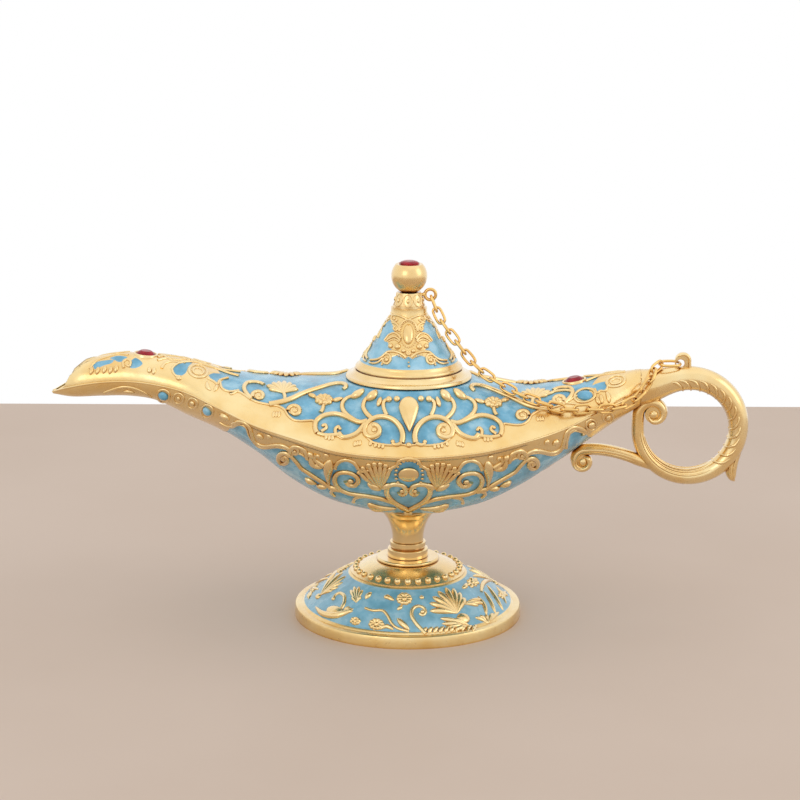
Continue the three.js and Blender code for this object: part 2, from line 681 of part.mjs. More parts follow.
function lidRegister() {
  const outer = NECK_BORE - SLIP_GAP;
  return turned([
    [outer - REGISTER_WALL, -REGISTER_DEPTH],
    [outer, -REGISTER_DEPTH],
    [outer, 0],
    [outer - REGISTER_WALL, 0],
  ]);
}

// Finial: a fluted cup, a polished ball with a stone on top, and the bolt that holds them
function finialCup() {
  const hole = FINIAL_BOLT_RADIUS + PIN_GAP;
  const waist = (FINIAL_CUP_RADIUS + FINIAL_CUP_TOP_RADIUS) / 2;
  const points = [
    [hole, 0],
    [FINIAL_CUP_RADIUS, 0],
    [FINIAL_CUP_RADIUS, FINIAL_CUP_FOOT],
    [waist, FINIAL_CUP_FOOT],
    [FINIAL_CUP_TOP_RADIUS, FINIAL_CUP_HEIGHT],
    [hole, FINIAL_CUP_HEIGHT],
    [hole, 0],
  ].map(([r, z]) => new THREE.Vector2(r, z));
  const geometry = new THREE.LatheGeometry(points, 4 * FINIAL_FLUTES).rotateX(Math.PI / 2);
  const position = geometry.getAttribute('position');
  for (let i = 0; i < position.count; i++) {
    const [x, y] = [position.getX(i), position.getY(i)];
    const fluted = Math.hypot(x, y) > hole + OVERRUN / 2 && position.getZ(i) >= FINIAL_CUP_FOOT;
    const wave = Math.cos(FINIAL_FLUTES * Math.atan2(y, x)) - 1;
    const swell = fluted ? 1 + FINIAL_FLUTE_DEPTH * wave : 1;
    position.setXY(i, x * swell, y * swell);
  }
  const shank = toSolid(new THREE.CylinderGeometry(
    EYE_SHANK_RADIUS + PIN_GAP, EYE_SHANK_RADIUS + PIN_GAP, 2 * EYE_SHANK, 8).rotateZ(Math.PI / 2));
  const tip = EYE_X - EYE_RADIUS - EYE_SHANK - PIN_GAP;
  return toSolid(geometry).subtract(shank.translate([tip + EYE_SHANK, 0, EYE_Z - LID_HEIGHT]));
}

function finialBall() {
  const seat = BALL_SEAT - BALL_Z;
  const shave = disc(BALL_RADIUS, -2 * BALL_RADIUS, seat);
  const pocket = disc(GEM_RADIUS + PIN_GAP, BALL_GEM_RISE, BALL_RADIUS + OVERRUN);
  const hole = disc(FINIAL_BOLT_RADIUS + PIN_GAP, -BALL_RADIUS, seat + FINIAL_BOLT_REACH + PIN_GAP);
  return ball(BALL_RADIUS, 24).subtract(shave).subtract(pocket).subtract(hole);
}

function finialBolt() {
  const seat = LID_HEIGHT - LID_CROWN;
  return turned([
    [0, seat - FINIAL_BOLT_HEAD_HEIGHT],
    [FINIAL_BOLT_HEAD_RADIUS, seat - FINIAL_BOLT_HEAD_HEIGHT],
    [FINIAL_BOLT_HEAD_RADIUS, seat],
    [FINIAL_BOLT_RADIUS, seat],
    [FINIAL_BOLT_RADIUS, BALL_SEAT + FINIAL_BOLT_REACH],
    [0, BALL_SEAT + FINIAL_BOLT_REACH],
  ], SMALL_ROUND);
}

// Lid eye: a wire ring with a shank let into the finial's cup
function lidEye() {
  const ring = new THREE.TorusGeometry(EYE_RADIUS, EYE_WIRE / 2, 8, 16).rotateX(Math.PI / 2);
  const shank = new THREE.CylinderGeometry(EYE_SHANK_RADIUS, EYE_SHANK_RADIUS, EYE_SHANK, 8)
    .rotateZ(Math.PI / 2).translate(-EYE_RADIUS - EYE_SHANK / 2, 0, 0);
  return toSolid(ring).add(toSolid(shank));
}

// A bar swept along a flat path in the XZ plane, with its own thickness and depth at each point
function sweptBar(path, sides) {
  const positions = [];
  const faces = [];
  path.forEach((point, i) => {
    const before = path[Math.max(0, i - 1)];
    const after = path[Math.min(path.length - 1, i + 1)];
    const lean = point.lean ?? Math.atan2(after.z - before.z, after.x - before.x);
    for (let k = 0; k < sides; k++) {
      const turn = (2 * Math.PI * (k + 0.5)) / sides;
      const across = (point.thick / 2) * Math.cos(turn);
      positions.push(
        point.x - across * Math.sin(lean),
        (point.depth / 2) * Math.sin(turn),
        point.z + across * Math.cos(lean));
      const next = (k + 1) % sides;
      if (i > 0) {
        const [a, b] = [(i - 1) * sides, i * sides];
        faces.push(a + k, b + k, b + next, a + k, b + next, a + next);
      }
    }
  });
  const end = (path.length - 1) * sides;
  for (let k = 1; k + 1 < sides; k++) {
    faces.push(0, k, k + 1, end, end + k + 1, end + k);
  }
  const geometry = new THREE.BufferGeometry();
  geometry.setAttribute('position', new THREE.Float32BufferAttribute(positions, 3));
  geometry.setIndex(faces);
  return toSolid(geometry);
}

function around(centre, radius, turn, thick, depth) {
  const angle = THREE.MathUtils.degToRad(turn);
  const [x, z] = [centre.x + radius * Math.cos(angle), centre.z + radius * Math.sin(angle)];
  return { x, z, thick, depth };
}

// Shaft, loop and inner curl of the handle as one tapering bar from the tail's end face
function handleBar() {
  const rootThick = TAIL.ridge - TAIL.keel;
  const rootDepth = 2 * TAIL.half;
  const top = { x: LOOP_CENTRE.x, z: LOOP_CENTRE.z + LOOP_RADIUS };
  const shaft = new THREE.CubicBezierCurve(
    new THREE.Vector2(0, 0),
    new THREE.Vector2(top.x / 4, 0),
    new THREE.Vector2(top.x * 0.55, top.z),
    new THREE.Vector2(top.x, top.z));
  const path = shaft.getPoints(7).slice(0, -1).map((p, i) => ({
    x: p.x,
    z: p.y,
    thick: between(rootThick, LOOP_TOP_THICK, Math.sqrt(i / 7)),
    depth: between(rootDepth, LOOP_DEPTH, Math.sqrt(i / 7)),
  }));
  path[0].lean = 0;
  const quarters = [
    [90, LOOP_TOP_THICK, LOOP_DEPTH],
    [0, LOOP_SIDE_THICK, LOOP_DEPTH],
    [-90, LOOP_LOW_THICK, LOOP_DEPTH],
    [-180, LOOP_END_THICK, LOOP_END_DEPTH],
  ];
  for (let q = 0; q < 3; q++) {
    for (let k = 0; k < QUARTER_STEPS; k++) {
      const [from, to] = [quarters[q], quarters[q + 1]];
      const [turn, thick, depth] = from.map((value, n) => between(value, to[n], k / QUARTER_STEPS));
      path.push(around(LOOP_CENTRE, LOOP_RADIUS, turn, thick, depth));
    }
  }
  path.push(around(LOOP_CENTRE, LOOP_RADIUS, -180, LOOP_END_THICK, LOOP_END_DEPTH));
  const leftX = LOOP_CENTRE.x - LOOP_RADIUS;
  const curlStart = CURL_CENTRE.x - leftX;
  for (let turn = 180; turn >= -90; turn -= 30) {
    const share = (180 - turn) / 270;
    path.push(around(
      CURL_CENTRE,
      between(curlStart, CURL_END_RADIUS, share),
      turn,
      between(LOOP_END_THICK, CURL_END_THICK, share),
      LOOP_END_DEPTH));
  }
  return sweptBar(path, 10);
}

// Strut from the loop to a curl that bears on the hull
function handleStrut() {
  const arch = new THREE.CubicBezierCurve(
    new THREE.Vector2(STRUT_START.x, STRUT_START.z),
    new THREE.Vector2(between(STRUT_START.x, STRUT_MIDDLE.x, 0.5), STRUT_MIDDLE.z - STRUT_THICK / 2),
    new THREE.Vector2(STRUT_MIDDLE.x - STRUT_THICK, STRUT_CURL.z + STRUT_CURL_RADIUS + STRUT_THICK / 4),
    new THREE.Vector2(STRUT_CURL.x, STRUT_CURL.z + STRUT_CURL_RADIUS));
  const path = arch.getPoints(8).slice(0, -1).map((p, i) => ({
    x: p.x,
    z: p.y,
    thick: between(STRUT_THICK, STRUT_CURL_THICK, (i / 8) ** 2),
    depth: STRUT_DEPTH,
  }));
  for (let turn = 90; turn <= 390; turn += 30) {
    const early = Math.min(1, (turn - 90) / 90);
    const late = Math.max(0, (turn - 180) / 210);
    const radius = between(STRUT_CURL_RADIUS, STRUT_CURL_SIDE_RADIUS, early);
    path.push(around(
      STRUT_CURL,
      between(radius, STRUT_CURL_END_RADIUS, late),
      turn,
      between(between(STRUT_CURL_THICK, STRUT_CURL_END_THICK, early), STRUT_CURL_END_THICK, late),
      STRUT_DEPTH));
  }
  return sweptBar(path, 8);
}

function handleEar() {
  const middle = EAR_HOLE.x + EAR_OFFSET;
  const centre = EAR_HOLE.z + EAR_RISE;
  const outline = new THREE.Shape();
  outline.moveTo(middle + EAR_RADIUS, EAR_HOLE.z - EAR_ROOT);
  outline.absarc(middle, centre, EAR_RADIUS, 0, Math.PI, false);
  outline.lineTo(middle - EAR_RADIUS, EAR_HOLE.z - EAR_ROOT);
  const options = { depth: EAR_THICK, bevelEnabled: false, curveSegments: 10 };
  const plate = new THREE.ExtrudeGeometry(outline, options).rotateX(Math.PI / 2);
  const hole = new THREE.CylinderGeometry(EAR_HOLE_RADIUS, EAR_HOLE_RADIUS, 2 * EAR_THICK, 16)
    .translate(EAR_HOLE.x, 0, EAR_HOLE.z);
  return toSolid(plate.translate(0, EAR_THICK / 2, 0)).subtract(toSolid(hole));
}

// The space of the hull's tail and a running gap, which the handle's curls keep out of
function tailSpace() {
  const positions = [];
  const faces = [];
  const start = BODY_ROWS.length - 1 - TAIL_ROWS;
  const columns = 2 * SECTION_STEPS;
  const steps = TAIL_ROWS * ROW_STEPS;
  for (let i = 0; i <= steps; i++) {
    const x = between(BODY_ROWS[start].x, TAIL.x, i / steps);
    for (let j = 0; j < columns; j++) {
      const share = Math.cos((2 * Math.PI * j) / columns);
      const under = j > SECTION_STEPS;
      const z = under ? hullHeight(x, share) - SLIP_GAP : deckHeight(x, share) + SLIP_GAP;
      positions.push(x, (bodyAt(x).half + SLIP_GAP) * share, z);
      const next = (j + 1) % columns;
      const [a, b] = [(i - 1) * columns, i * columns];
      if (i > 0) faces.push(a + j, a + next, b + next, a + j, b + next, b + j);
    }
  }
  const end = steps * columns;
  for (let j = 1; j + 1 < columns; j++) {
    faces.push(0, j + 1, j, end, end + j, end + j + 1);
  }
  const geometry = new THREE.BufferGeometry();
  geometry.setAttribute('position', new THREE.Float32BufferAttribute(positions, 3));
  geometry.setIndex(faces);
  return toSolid(geometry);
}

// Handle: one casting of shaft, loop, curl, strut, leaf spur, chain ear and tenon
function handle() {
  const leaf = sweptBar([
    { ...LEAF_ROOT, thick: LEAF_THICK, depth: LEAF_DEPTH },
    { ...LEAF_MIDDLE, thick: LEAF_MIDDLE_THICK, depth: LEAF_DEPTH },
    { ...LEAF_TIP, thick: LEAF_TIP_THICK, depth: LEAF_DEPTH / 2 },
  ], 8);
  const tenon = sweptBar([
    { x: -TENON_LENGTH, z: -TENON_DROP, thick: TENON_THICK, depth: TENON_THICK, lean: 0 },
    { x: 0, z: 0, thick: TENON_THICK, depth: TENON_THICK, lean: 0 },
    { x: OVERRUN, z: 0, thick: TENON_THICK, depth: TENON_THICK, lean: 0 },
  ], 8);
  const clear = tailSpace().translate([-TAIL.x, 0, -TAIL_Z]);
  return handleBar()
    .add(handleStrut())
    .subtract(clear)
    .add(handleEar())
    .add(leaf)
    .add(tenon)
    .add(ball(CURL_BALL_RADIUS, 12).translate([CURL_CENTRE.x, 0, CURL_CENTRE.z]))
    .add(ball(STRUT_BALL_RADIUS, 12).translate([STRUT_CURL.x, 0, STRUT_CURL.z]));
}

// Chain route from the handle's ear over the deck and up to the lid's eye
function lieOnDeck(x, share) {
  const y = -share * bodyAt(x).half;
  return new THREE.Vector3(x, y, deckHeight(x, share) + CHAIN_LIE);
}

function chainRoute() {
  const ear = new THREE.Vector3(TAIL.x + EAR_HOLE.x, 0, TAIL_Z + EAR_HOLE.z);
  const fromEar = (x, y, z) => new THREE.Vector3(x, y, z).add(ear);
  const eye = new THREE.Vector3(EYE_X, 0, LID_Z + EYE_Z);
  const wires = (EYE_WIRE + LINK_WIRE) / 4;
  const pull = EYE_RADIUS - wires - SLIP_GAP / 2;
  eye.x += pull * Math.cos(EYE_PULL_ANGLE);
  eye.z += pull * Math.sin(EYE_PULL_ANGLE);
  const fromEye = (x, y, z) => new THREE.Vector3(x, y, z).add(eye);
  return new THREE.CatmullRomCurve3([
    ear,
    fromEar(-3, -0.5, 0.1),
    fromEar(-6.1, -1.5, 0.1),
    fromEar(-8.3, -3.6, -0.8),
    fromEar(-9.8, -6.4, -4),
    fromEar(-11.9, -8, -7),
    fromEar(-15.9, -10.6, -9.9),
    fromEar(-21.9, -13.4, -11),
    lieOnDeck(54, 1.06),
    lieOnDeck(46, 0.87),
    lieOnDeck(39, 0.67),
    lieOnDeck(33, 0.5),
    fromEye(14.5, -8, -20.4),
    fromEye(7, -4.4, -12),
    fromEye(2.5, -1.5, -6),
    eye,
  ], false, 'centripetal');
}

// Joints of the chain: the first at the ear's ring, then equal steps that end at the lid's eye
function chainJoints() {
  const route = chainRoute().getSpacedPoints(1500);
  const walk = (pitch) => {
    const joints = [route[0]];
    let at = 0;
    while (joints.length < LINK_COUNT + 1) {
      const step = joints.length === 1 ? EAR_RING_PITCH : pitch;
      const from = joints[joints.length - 1];
      while (at < route.length - 1 && route[at].distanceTo(from) < step) at += 1;
      const direction = route[at].clone().sub(from).normalize();
      joints.push(from.clone().addScaledVector(direction, step));
    }
    return joints;
  };
  const end = route[route.length - 1];
  let [low, high] = [1, 10];
  for (let i = 0; i < 50; i++) {
    const middle = (low + high) / 2;
    const joints = walk(middle);
    const short = joints[LINK_COUNT].distanceTo(end) > middle;
    if (short) low = middle;
    else high = middle;
  }
  return [...walk(low), end];
}

// A link: a wire ring drawn out along X to the given length over its wire's centre line
function linkGeometry(length, width) {
  const radius = (width - LINK_WIRE) / 2;
  const geometry = new THREE.TorusGeometry(radius, LINK_WIRE / 2, LINK_SIDES, LINK_STEPS);
  geometry.rotateZ(Math.PI / LINK_STEPS);
  const position = geometry.getAttribute('position');
  const stretch = length / 2 - radius;
  for (let i = 0; i < position.count; i++) {
    const x = position.getX(i);
    position.setX(i, x + Math.sign(x) * stretch);
  }
  return toGeometry(toSolid(geometry));
}

// Side vectors carried along the chain, then turned evenly so that the last link meets the eye
function chainSides(joints) {
  const sides = [];
  let side = new THREE.Vector3(0, 1, EAR_RING_TILT);
  for (let i = 0; i <= LINK_COUNT; i++) {
    const along = joints[i + 1].clone().sub(joints[i]).normalize();
    side = side.clone().addScaledVector(along, -side.dot(along)).normalize();
    sides.push({ along, side });
  }
  const last = sides[LINK_COUNT];
  const wanted = new THREE.Vector3(0, 1, 0);
  wanted.addScaledVector(last.along, -wanted.dot(last.along)).normalize();
  const twist = Math.atan2(last.side.clone().cross(wanted).dot(last.along), last.side.dot(wanted));
  sides.forEach((pair, i) => pair.side.applyAxisAngle(pair.along, (twist * i) / LINK_COUNT));
  return sides;
}

function chain() {
  const joints = chainJoints();
  const sides = chainSides(joints);
  const group = new THREE.Group();
  const hook = (LINK_WIRE + LINK_GAP) / 2;
  for (let i = 0; i <= LINK_COUNT; i++) {
    const { along, side } = sides[i];
    const up = along.clone().cross(side);
    const basis = new THREE.Matrix4();
    if (i % 2 === 0) basis.makeBasis(along, side, up);
    else basis.makeBasis(along, up, side.clone().negate());
    const isRing = i === 0;
    const length = joints[i].distanceTo(joints[i + 1]) + (isRing ? hook : 2 * hook);
    const width = isRing ? EAR_RING_WIDTH : LINK_WIDTH;
    const name = isRing ? 'ear_ring' : `chain_link_${String(i).padStart(2, '0')}`;
    const link = mesh(name, linkGeometry(length, width), GILT);
    const middle = joints[i].clone().lerp(joints[i + 1], 0.5);
    link.position.copy(middle).addScaledVector(along, isRing ? hook / 2 : 0);
    link.quaternion.setFromRotationMatrix(basis);
    group.add(link);
  }
  return group;
}

function raised(z, ...pieces) {
  const group = new THREE.Group();
  group.position.z = z;
  if (pieces.length) group.add(...pieces);
  return group;
}

function placed(piece, x, z) {
  piece.position.set(x, 0, z);
  return piece;
}

const stand = raised(0,
  mesh('foot', foot(), ENAMEL),
  placed(mesh('beaded_saucer', saucer(), GILT), 0, SAUCER_Z),
  placed(mesh('stem_ring', stemRing(), GILT), 0, RING_Z),
  placed(mesh('stem_knob', stemKnob(), GILT), 0, KNOB_Z),
  placed(mesh('stem_cup', stemCup(), POLISHED_GILT), 0, CUP_Z),
  mesh('tie_bolt', tieBolt(), STEEL),
  placed(mesh('bolt_washer', washer(), STEEL), 0, FOOT_HEIGHT - FOOT_WALL),
  placed(mesh('bolt_nut', nut(), STEEL), 0, FOOT_HEIGHT - FOOT_WALL - WASHER_THICKNESS));

const lid = raised(LID_Z,
  mesh('lid_cone', lidCone(), ENAMEL),
  mesh('lid_register', lidRegister(), GILT),
  placed(mesh('finial_cup', finialCup(), GILT), 0, LID_HEIGHT),
  placed(mesh('finial_ball', finialBall(), POLISHED_GILT), 0, BALL_Z),
  placed(mesh('finial_gem', gem(), RED_GLASS), 0, BALL_Z + BALL_GEM_RISE),
  mesh('finial_bolt', finialBolt(), STEEL),
  placed(mesh('lid_eye', lidEye(), GILT), EYE_X, EYE_Z));

const body = raised(HULL_Z,
  mesh('lower_shell', lowerShell(), ENAMEL),
  mesh('upper_shell', upperShell(), ENAMEL),
  placed(mesh('neck_collar', neckCollar(), GILT), 0, NECK_HEIGHT),
  placed(mesh('spout_gem', gem(), RED_GLASS), SPOUT_GEM_X, gemSeat(SPOUT_GEM_X)),
  placed(mesh('tail_gem', gem(), RED_GLASS), TAIL_GEM_X, gemSeat(TAIL_GEM_X)),
  placed(mesh('handle', handle(), GILT), TAIL.x, TAIL_Z),
  lid,
  chain());

const lamp = new THREE.Group();
lamp.position.x = LAMP_AXIS_X;
lamp.add(stand, body);

const part = new THREE.Group();
part.add(lamp);

export default part;
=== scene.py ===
import math

import bmesh
import bpy
from mathutils import Matrix, Vector
from mathutils.bvhtree import BVHTree


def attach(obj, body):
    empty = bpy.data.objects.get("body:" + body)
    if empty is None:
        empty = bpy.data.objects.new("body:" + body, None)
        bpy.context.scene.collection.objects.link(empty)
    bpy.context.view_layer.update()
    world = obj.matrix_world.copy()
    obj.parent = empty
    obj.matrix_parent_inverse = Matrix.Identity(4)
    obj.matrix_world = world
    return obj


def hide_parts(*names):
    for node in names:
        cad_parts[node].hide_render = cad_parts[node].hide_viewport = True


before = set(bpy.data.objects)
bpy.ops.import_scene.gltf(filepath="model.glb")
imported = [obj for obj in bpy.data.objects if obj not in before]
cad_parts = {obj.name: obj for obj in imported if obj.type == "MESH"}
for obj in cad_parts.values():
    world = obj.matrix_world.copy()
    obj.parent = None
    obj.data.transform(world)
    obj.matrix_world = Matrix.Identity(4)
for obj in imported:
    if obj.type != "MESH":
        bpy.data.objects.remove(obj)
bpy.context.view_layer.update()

bpy.context.scene.view_settings.view_transform = "Standard"

# Camera
# A long lens a little above the lamp looks across its length, level with the floor.
# Lengths are in millimetres and become metres where a mesh or a place is handed over.
MM = 0.001
PICTURE_SIZE = 800
FOCAL_PX = 2218
SENSOR_WIDTH = 36
CAMERA_PITCH = math.radians(13.2)
CAMERA_ROLL = math.radians(0.25)
CAMERA_PLACE = Vector((-0.4, -654, 220.7))


def scene_object(name, data):
    thing = bpy.data.objects.new(name, data)
    bpy.context.collection.objects.link(thing)
    return thing


camera_data = bpy.data.cameras.new("camera")
camera_data.sensor_width = SENSOR_WIDTH
camera_data.lens = FOCAL_PX * SENSOR_WIDTH / PICTURE_SIZE
camera = scene_object("camera", camera_data)
tilt = Matrix.Rotation(math.pi / 2 - CAMERA_PITCH, 4, "X") @ Matrix.Rotation(CAMERA_ROLL, 4, "Z")
camera.matrix_world = Matrix.Translation(CAMERA_PLACE * MM) @ tilt
bpy.context.scene.camera = camera

# Foot
# A hollow spun brass dish: a turned gilt rim, a blue enamelled slope and a flat crown that the
# stem stands on. Cast gilt plants and birds are soldered to the slope before the enamel is fired.
AXIS_X = 2.2
FOOT_RADIUS = 34.8
FOOT_RIM_WIDTH = 1.9
FOOT_RIM_HEIGHT = 2.9
FOOT_LIP_HEIGHT = 3.7
FOOT_LIP_RADIUS = 32.7
FOOT_LIP_ROUND = 0.8
FOOT_LIP_CORNER = (0.25, 0.2)
FOOT_TOP_RADIUS = 17.6
FOOT_HEIGHT = 13.5
FOOT_BULGE = 2
FOOT_WALL = 1.8
BOLT_HOLE = 2.3
ENAMEL_DEPTH = 0.3
FOOT_ENAMEL_INNER = 18.3
FOOT_ENAMEL_OUTER = 31.9
FOOT_ENAMEL_EDGE = (-0.2, 0.3)
# Reach and sample count of the painted recess shade and tarnish on the gilt
SHADE_AND_TARNISH_REACH = 1.2
SHADE_AND_TARNISH_SAMPLES = 8
NOISE_LOW = 0.3
NOISE_HIGH = 0.7
CLOUD_NOISE = (90, 3)
FINE_NOISE = (900, 3)
GLAZE_NOISE = (240, 4)
PITTED_NOISE = (900, 2)
RIPPLED_NOISE = (420, 3)
COAT_ROUGHNESS = 0.15
GOLD_DARK = (0.40, 0.18, 0.03)
GOLD_MID = (0.83, 0.52, 0.14)
GOLD_PALE = (0.92, 0.71, 0.33)
FOOT_DEEP = (0.16, 0.42, 0.56)
FOOT_MID = (0.25, 0.55, 0.72)
FOOT_PALE = (0.38, 0.65, 0.78)


def between(start, end, share):
    return start + (end - start) * share


def smoothstep(value, low, high):
    share = min(1, max(0, (value - low) / (high - low)))
    return share * share * (3 - 2 * share)


def bent(start, control, end, steps):
    points = []
    for i in range(steps + 1):
        t = i / steps
        points.append(tuple(
            (1 - t) ** 2 * a + 2 * t * (1 - t) * b + t * t * c
            for a, b, c in zip(start, control, end)))
    return points


def turned(outline, base, steps=96):
    bm = bmesh.new()
    corners = [bm.verts.new((radius, 0, base + height)) for radius, height in outline]
    edges = [bm.edges.new(pair) for pair in zip(corners, corners[1:] + corners[:1])]
    bmesh.ops.spin(
        bm, geom=corners + edges, cent=(0, 0, 0), axis=(0, 0, 1), dvec=(0, 0, 0),
        angle=2 * math.pi, steps=steps, use_merge=True)
    bmesh.ops.remove_doubles(bm, verts=bm.verts, dist=0.001)
    bmesh.ops.recalc_face_normals(bm, faces=bm.faces)
    bmesh.ops.translate(bm, verts=bm.verts, vec=(AXIS_X, 0, 0))
    return bm


def placed(bm, name, materials, body="lamp", nodes=(), sharp=35, edge=0):
    bmesh.ops.scale(bm, verts=bm.verts, vec=(MM, MM, MM))
    for face in bm.faces:
        face.smooth = True
    for line in bm.edges:
        line.smooth = line.calc_face_angle(0) < math.radians(sharp)
    mesh = bpy.data.meshes.new(name)
    bm.to_mesh(mesh)
    bm.free()
    piece = scene_object(name, mesh)
    for material in materials:
        mesh.materials.append(material)
    if edge:
        rounding = piece.modifiers.new("rounded_edges", "BEVEL")
        rounding.width = edge * MM
        rounding.segments = 2
        rounding.limit_method = "ANGLE"
        rounding.angle_limit = math.radians(sharp)
    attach(piece, body)
    if nodes:
        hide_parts(*nodes)
    return piece


def set_inputs(node, values):
    for name, value in values.items():
        node.inputs[name].default_value = value


def noise_group():
    group = bpy.data.node_groups.new("surface_mottle", "ShaderNodeTree")
    for name, value in (("Scale", 1.0), ("Detail", 0.0)):
        socket = group.interface.new_socket(name, in_out="INPUT", socket_type="NodeSocketFloat")
        socket.default_value = value
    group.interface.new_socket("Mottle", in_out="OUTPUT", socket_type="NodeSocketFloat")
    source = group.nodes.new("NodeGroupInput")
    target = group.nodes.new("NodeGroupOutput")
    place = group.nodes.new("ShaderNodeTexCoord")
    noise = group.nodes.new("ShaderNodeTexNoise")
    group.links.new(place.outputs["Object"], noise.inputs["Vector"])
    group.links.new(source.outputs["Scale"], noise.inputs["Scale"])
    group.links.new(source.outputs["Detail"], noise.inputs["Detail"])
    group.links.new(noise.outputs["Fac"], target.inputs["Mottle"])
    return group


surface_mottle = noise_group()


def mottle(material, scale, detail):
    node = material.node_tree.nodes.new("ShaderNodeGroup")
    node.node_tree = surface_mottle
    set_inputs(node, {"Scale": scale, "Detail": detail})
    return node.outputs["Mottle"]


# Painted shade and tarnish: an ambient occlusion node measures how open the surface is. The gilt's colour
# darkens in recesses, in creases beside the wires and between parts, which stands in for the shade that
# falls there as well as for brown tarnish in the hollows.
def recess_group():
    group = bpy.data.node_groups.new("recess_shade", "ShaderNodeTree")
    group.interface.new_socket("Open", in_out="OUTPUT", socket_type="NodeSocketFloat")
    target = group.nodes.new("NodeGroupOutput")
    hollow = group.nodes.new("ShaderNodeAmbientOcclusion")
    hollow.samples = SHADE_AND_TARNISH_SAMPLES
    set_inputs(hollow, {"Distance": SHADE_AND_TARNISH_REACH * MM})
    group.links.new(hollow.outputs["AO"], target.inputs["Open"])
    return group


recess_shade = recess_group()


# The gilt colour value is the occlusion's painted recess shade and tarnish, times a random cloudy tone.
def shade_and_tarnish(material):
    recess = material.node_tree.nodes.new("ShaderNodeGroup")
    recess.node_tree = recess_shade
    unshaded = spread(material, recess.outputs["Open"], 0, 1, 0.3, 0.85)
    clouds = spread(material, mottle(material, *CLOUD_NOISE), 0.5, 1)
    product = material.node_tree.nodes.new("ShaderNodeMath")
    product.operation = "MULTIPLY"
    for factor, socket in zip((unshaded, clouds), product.inputs):
        material.node_tree.links.new(factor, socket)
    return product.outputs["Value"]


def ramp(material, value, stops):
    node = material.node_tree.nodes.new("ShaderNodeValToRGB")
    while len(node.color_ramp.elements) < len(stops):
        node.color_ramp.elements.new(0.5)
    for element, (position, colour) in zip(node.color_ramp.elements, stops):
        element.position = position
        element.color = (*colour, 1)
    material.node_tree.links.new(value, node.inputs["Fac"])
    return node.outputs["Color"]


def spread(material, value, start, end, low=NOISE_LOW, high=NOISE_HIGH):
    node = material.node_tree.nodes.new("ShaderNodeMapRange")
    set_inputs(node, {"From Min": low, "From Max": high, "To Min": start, "To Max": end})
    material.node_tree.links.new(value, node.inputs["Value"])
    return node.outputs["Result"]


def blended(material, share, first, second, kind="FLOAT"):
    node = material.node_tree.nodes.new("ShaderNodeMix")
    node.data_type = kind
    sockets = [socket for socket in node.inputs if socket.enabled]
    for socket, value in zip(sockets, (share, first, second)):
        material.node_tree.links.new(value, socket)
    return next(socket for socket in node.outputs if socket.enabled)


def bumped(material, height, strength, distance):
    node = material.node_tree.nodes.new("ShaderNodeBump")
    set_inputs(node, {"Strength": strength, "Distance": distance * MM})
    material.node_tree.links.new(height, node.inputs["Height"])
    return node.outputs["Normal"]


def blank(name):
    material = bpy.data.materials.new(name)
    material.use_nodes = True
    return material, material.node_tree.nodes["Principled BSDF"], material.node_tree.links


# Gilt colour runs towards GOLD_DARK in recesses, where shade is painted in along with tarnish, and in
# random darker clouds.
def gold_colour(material, middle=GOLD_MID, pale=GOLD_PALE):
    return ramp(material, shade_and_tarnish(material), ((0, GOLD_DARK), (0.5, middle), (1, pale)))


def gilt_material(name, low, high, grain, middle=GOLD_MID, pale=GOLD_PALE, coat=COAT_ROUGHNESS):
    material, shader, links = blank(name)
    links.new(gold_colour(material, middle, pale), shader.inputs["Base Color"])
    fine = mottle(material, *FINE_NOISE)
    links.new(spread(material, fine, low, high), shader.inputs["Roughness"])
    links.new(bumped(material, fine, grain, 0.1), shader.inputs["Normal"])
    set_inputs(shader, {"Metallic": 1, "Coat Weight": 1, "Coat IOR": 2, "Coat Roughness": coat})
    return material


def enamelled_material(name, deep, middle, pale):
    material, shader, links = blank(name)
    field = material.node_tree.nodes.new("ShaderNodeAttribute")
    field.attribute_name = "enamel"
    share = spread(material, field.outputs["Fac"], 0, 1, -0.06, 0.06)
    clouds = mottle(material, *GLAZE_NOISE)
    glaze = ramp(material, clouds, ((NOISE_LOW, deep), (0.5, middle), (NOISE_HIGH, pale)))
    # The shell's gilt parts carry the painted recess shade and tarnish of gold_colour.
    links.new(blended(material, share, gold_colour(material), glaze, "RGBA"), shader.inputs["Base Color"])
    links.new(spread(material, share, 1, 0, 0, 1), shader.inputs["Metallic"])
    satin = spread(material, mottle(material, *FINE_NOISE), 0.26, 0.4)
    gloss = spread(material, clouds, 0.18, 0.32)
    links.new(blended(material, share, satin, gloss), shader.inputs["Roughness"])
    pits, ripples = mottle(material, *PITTED_NOISE), mottle(material, *RIPPLED_NOISE)
    grain = blended(material, share, pits, ripples)
    links.new(bumped(material, grain, 0.25, 0.15), shader.inputs["Normal"])
    links.new(spread(material, share, 0.8, 0.35, 0, 1), shader.inputs["Coat Weight"])
    set_inputs(shader, {"Coat IOR": 1.9, "Coat Roughness": COAT_ROUGHNESS})
    return material


gilt = gilt_material("gilt", 0.2, 0.31, 0.06)
polished_gilt = gilt_material("polished_gilt", 0.14, 0.22, 0.03)
raw_brass = gilt_material("raw_brass", 0.38, 0.5, 0.3)
foot_enamel = enamelled_material("foot_enamel", FOOT_DEEP, FOOT_MID, FOOT_PALE)

foot_slope = bent(
    (FOOT_LIP_RADIUS, FOOT_LIP_HEIGHT),
    ((FOOT_LIP_RADIUS + FOOT_TOP_RADIUS) / 2, (FOOT_LIP_HEIGHT + FOOT_HEIGHT) / 2 + FOOT_BULGE),
    (FOOT_TOP_RADIUS, FOOT_HEIGHT), 40)


def foot_field(radius):
    return min(FOOT_ENAMEL_OUTER - radius, radius - FOOT_ENAMEL_INNER)


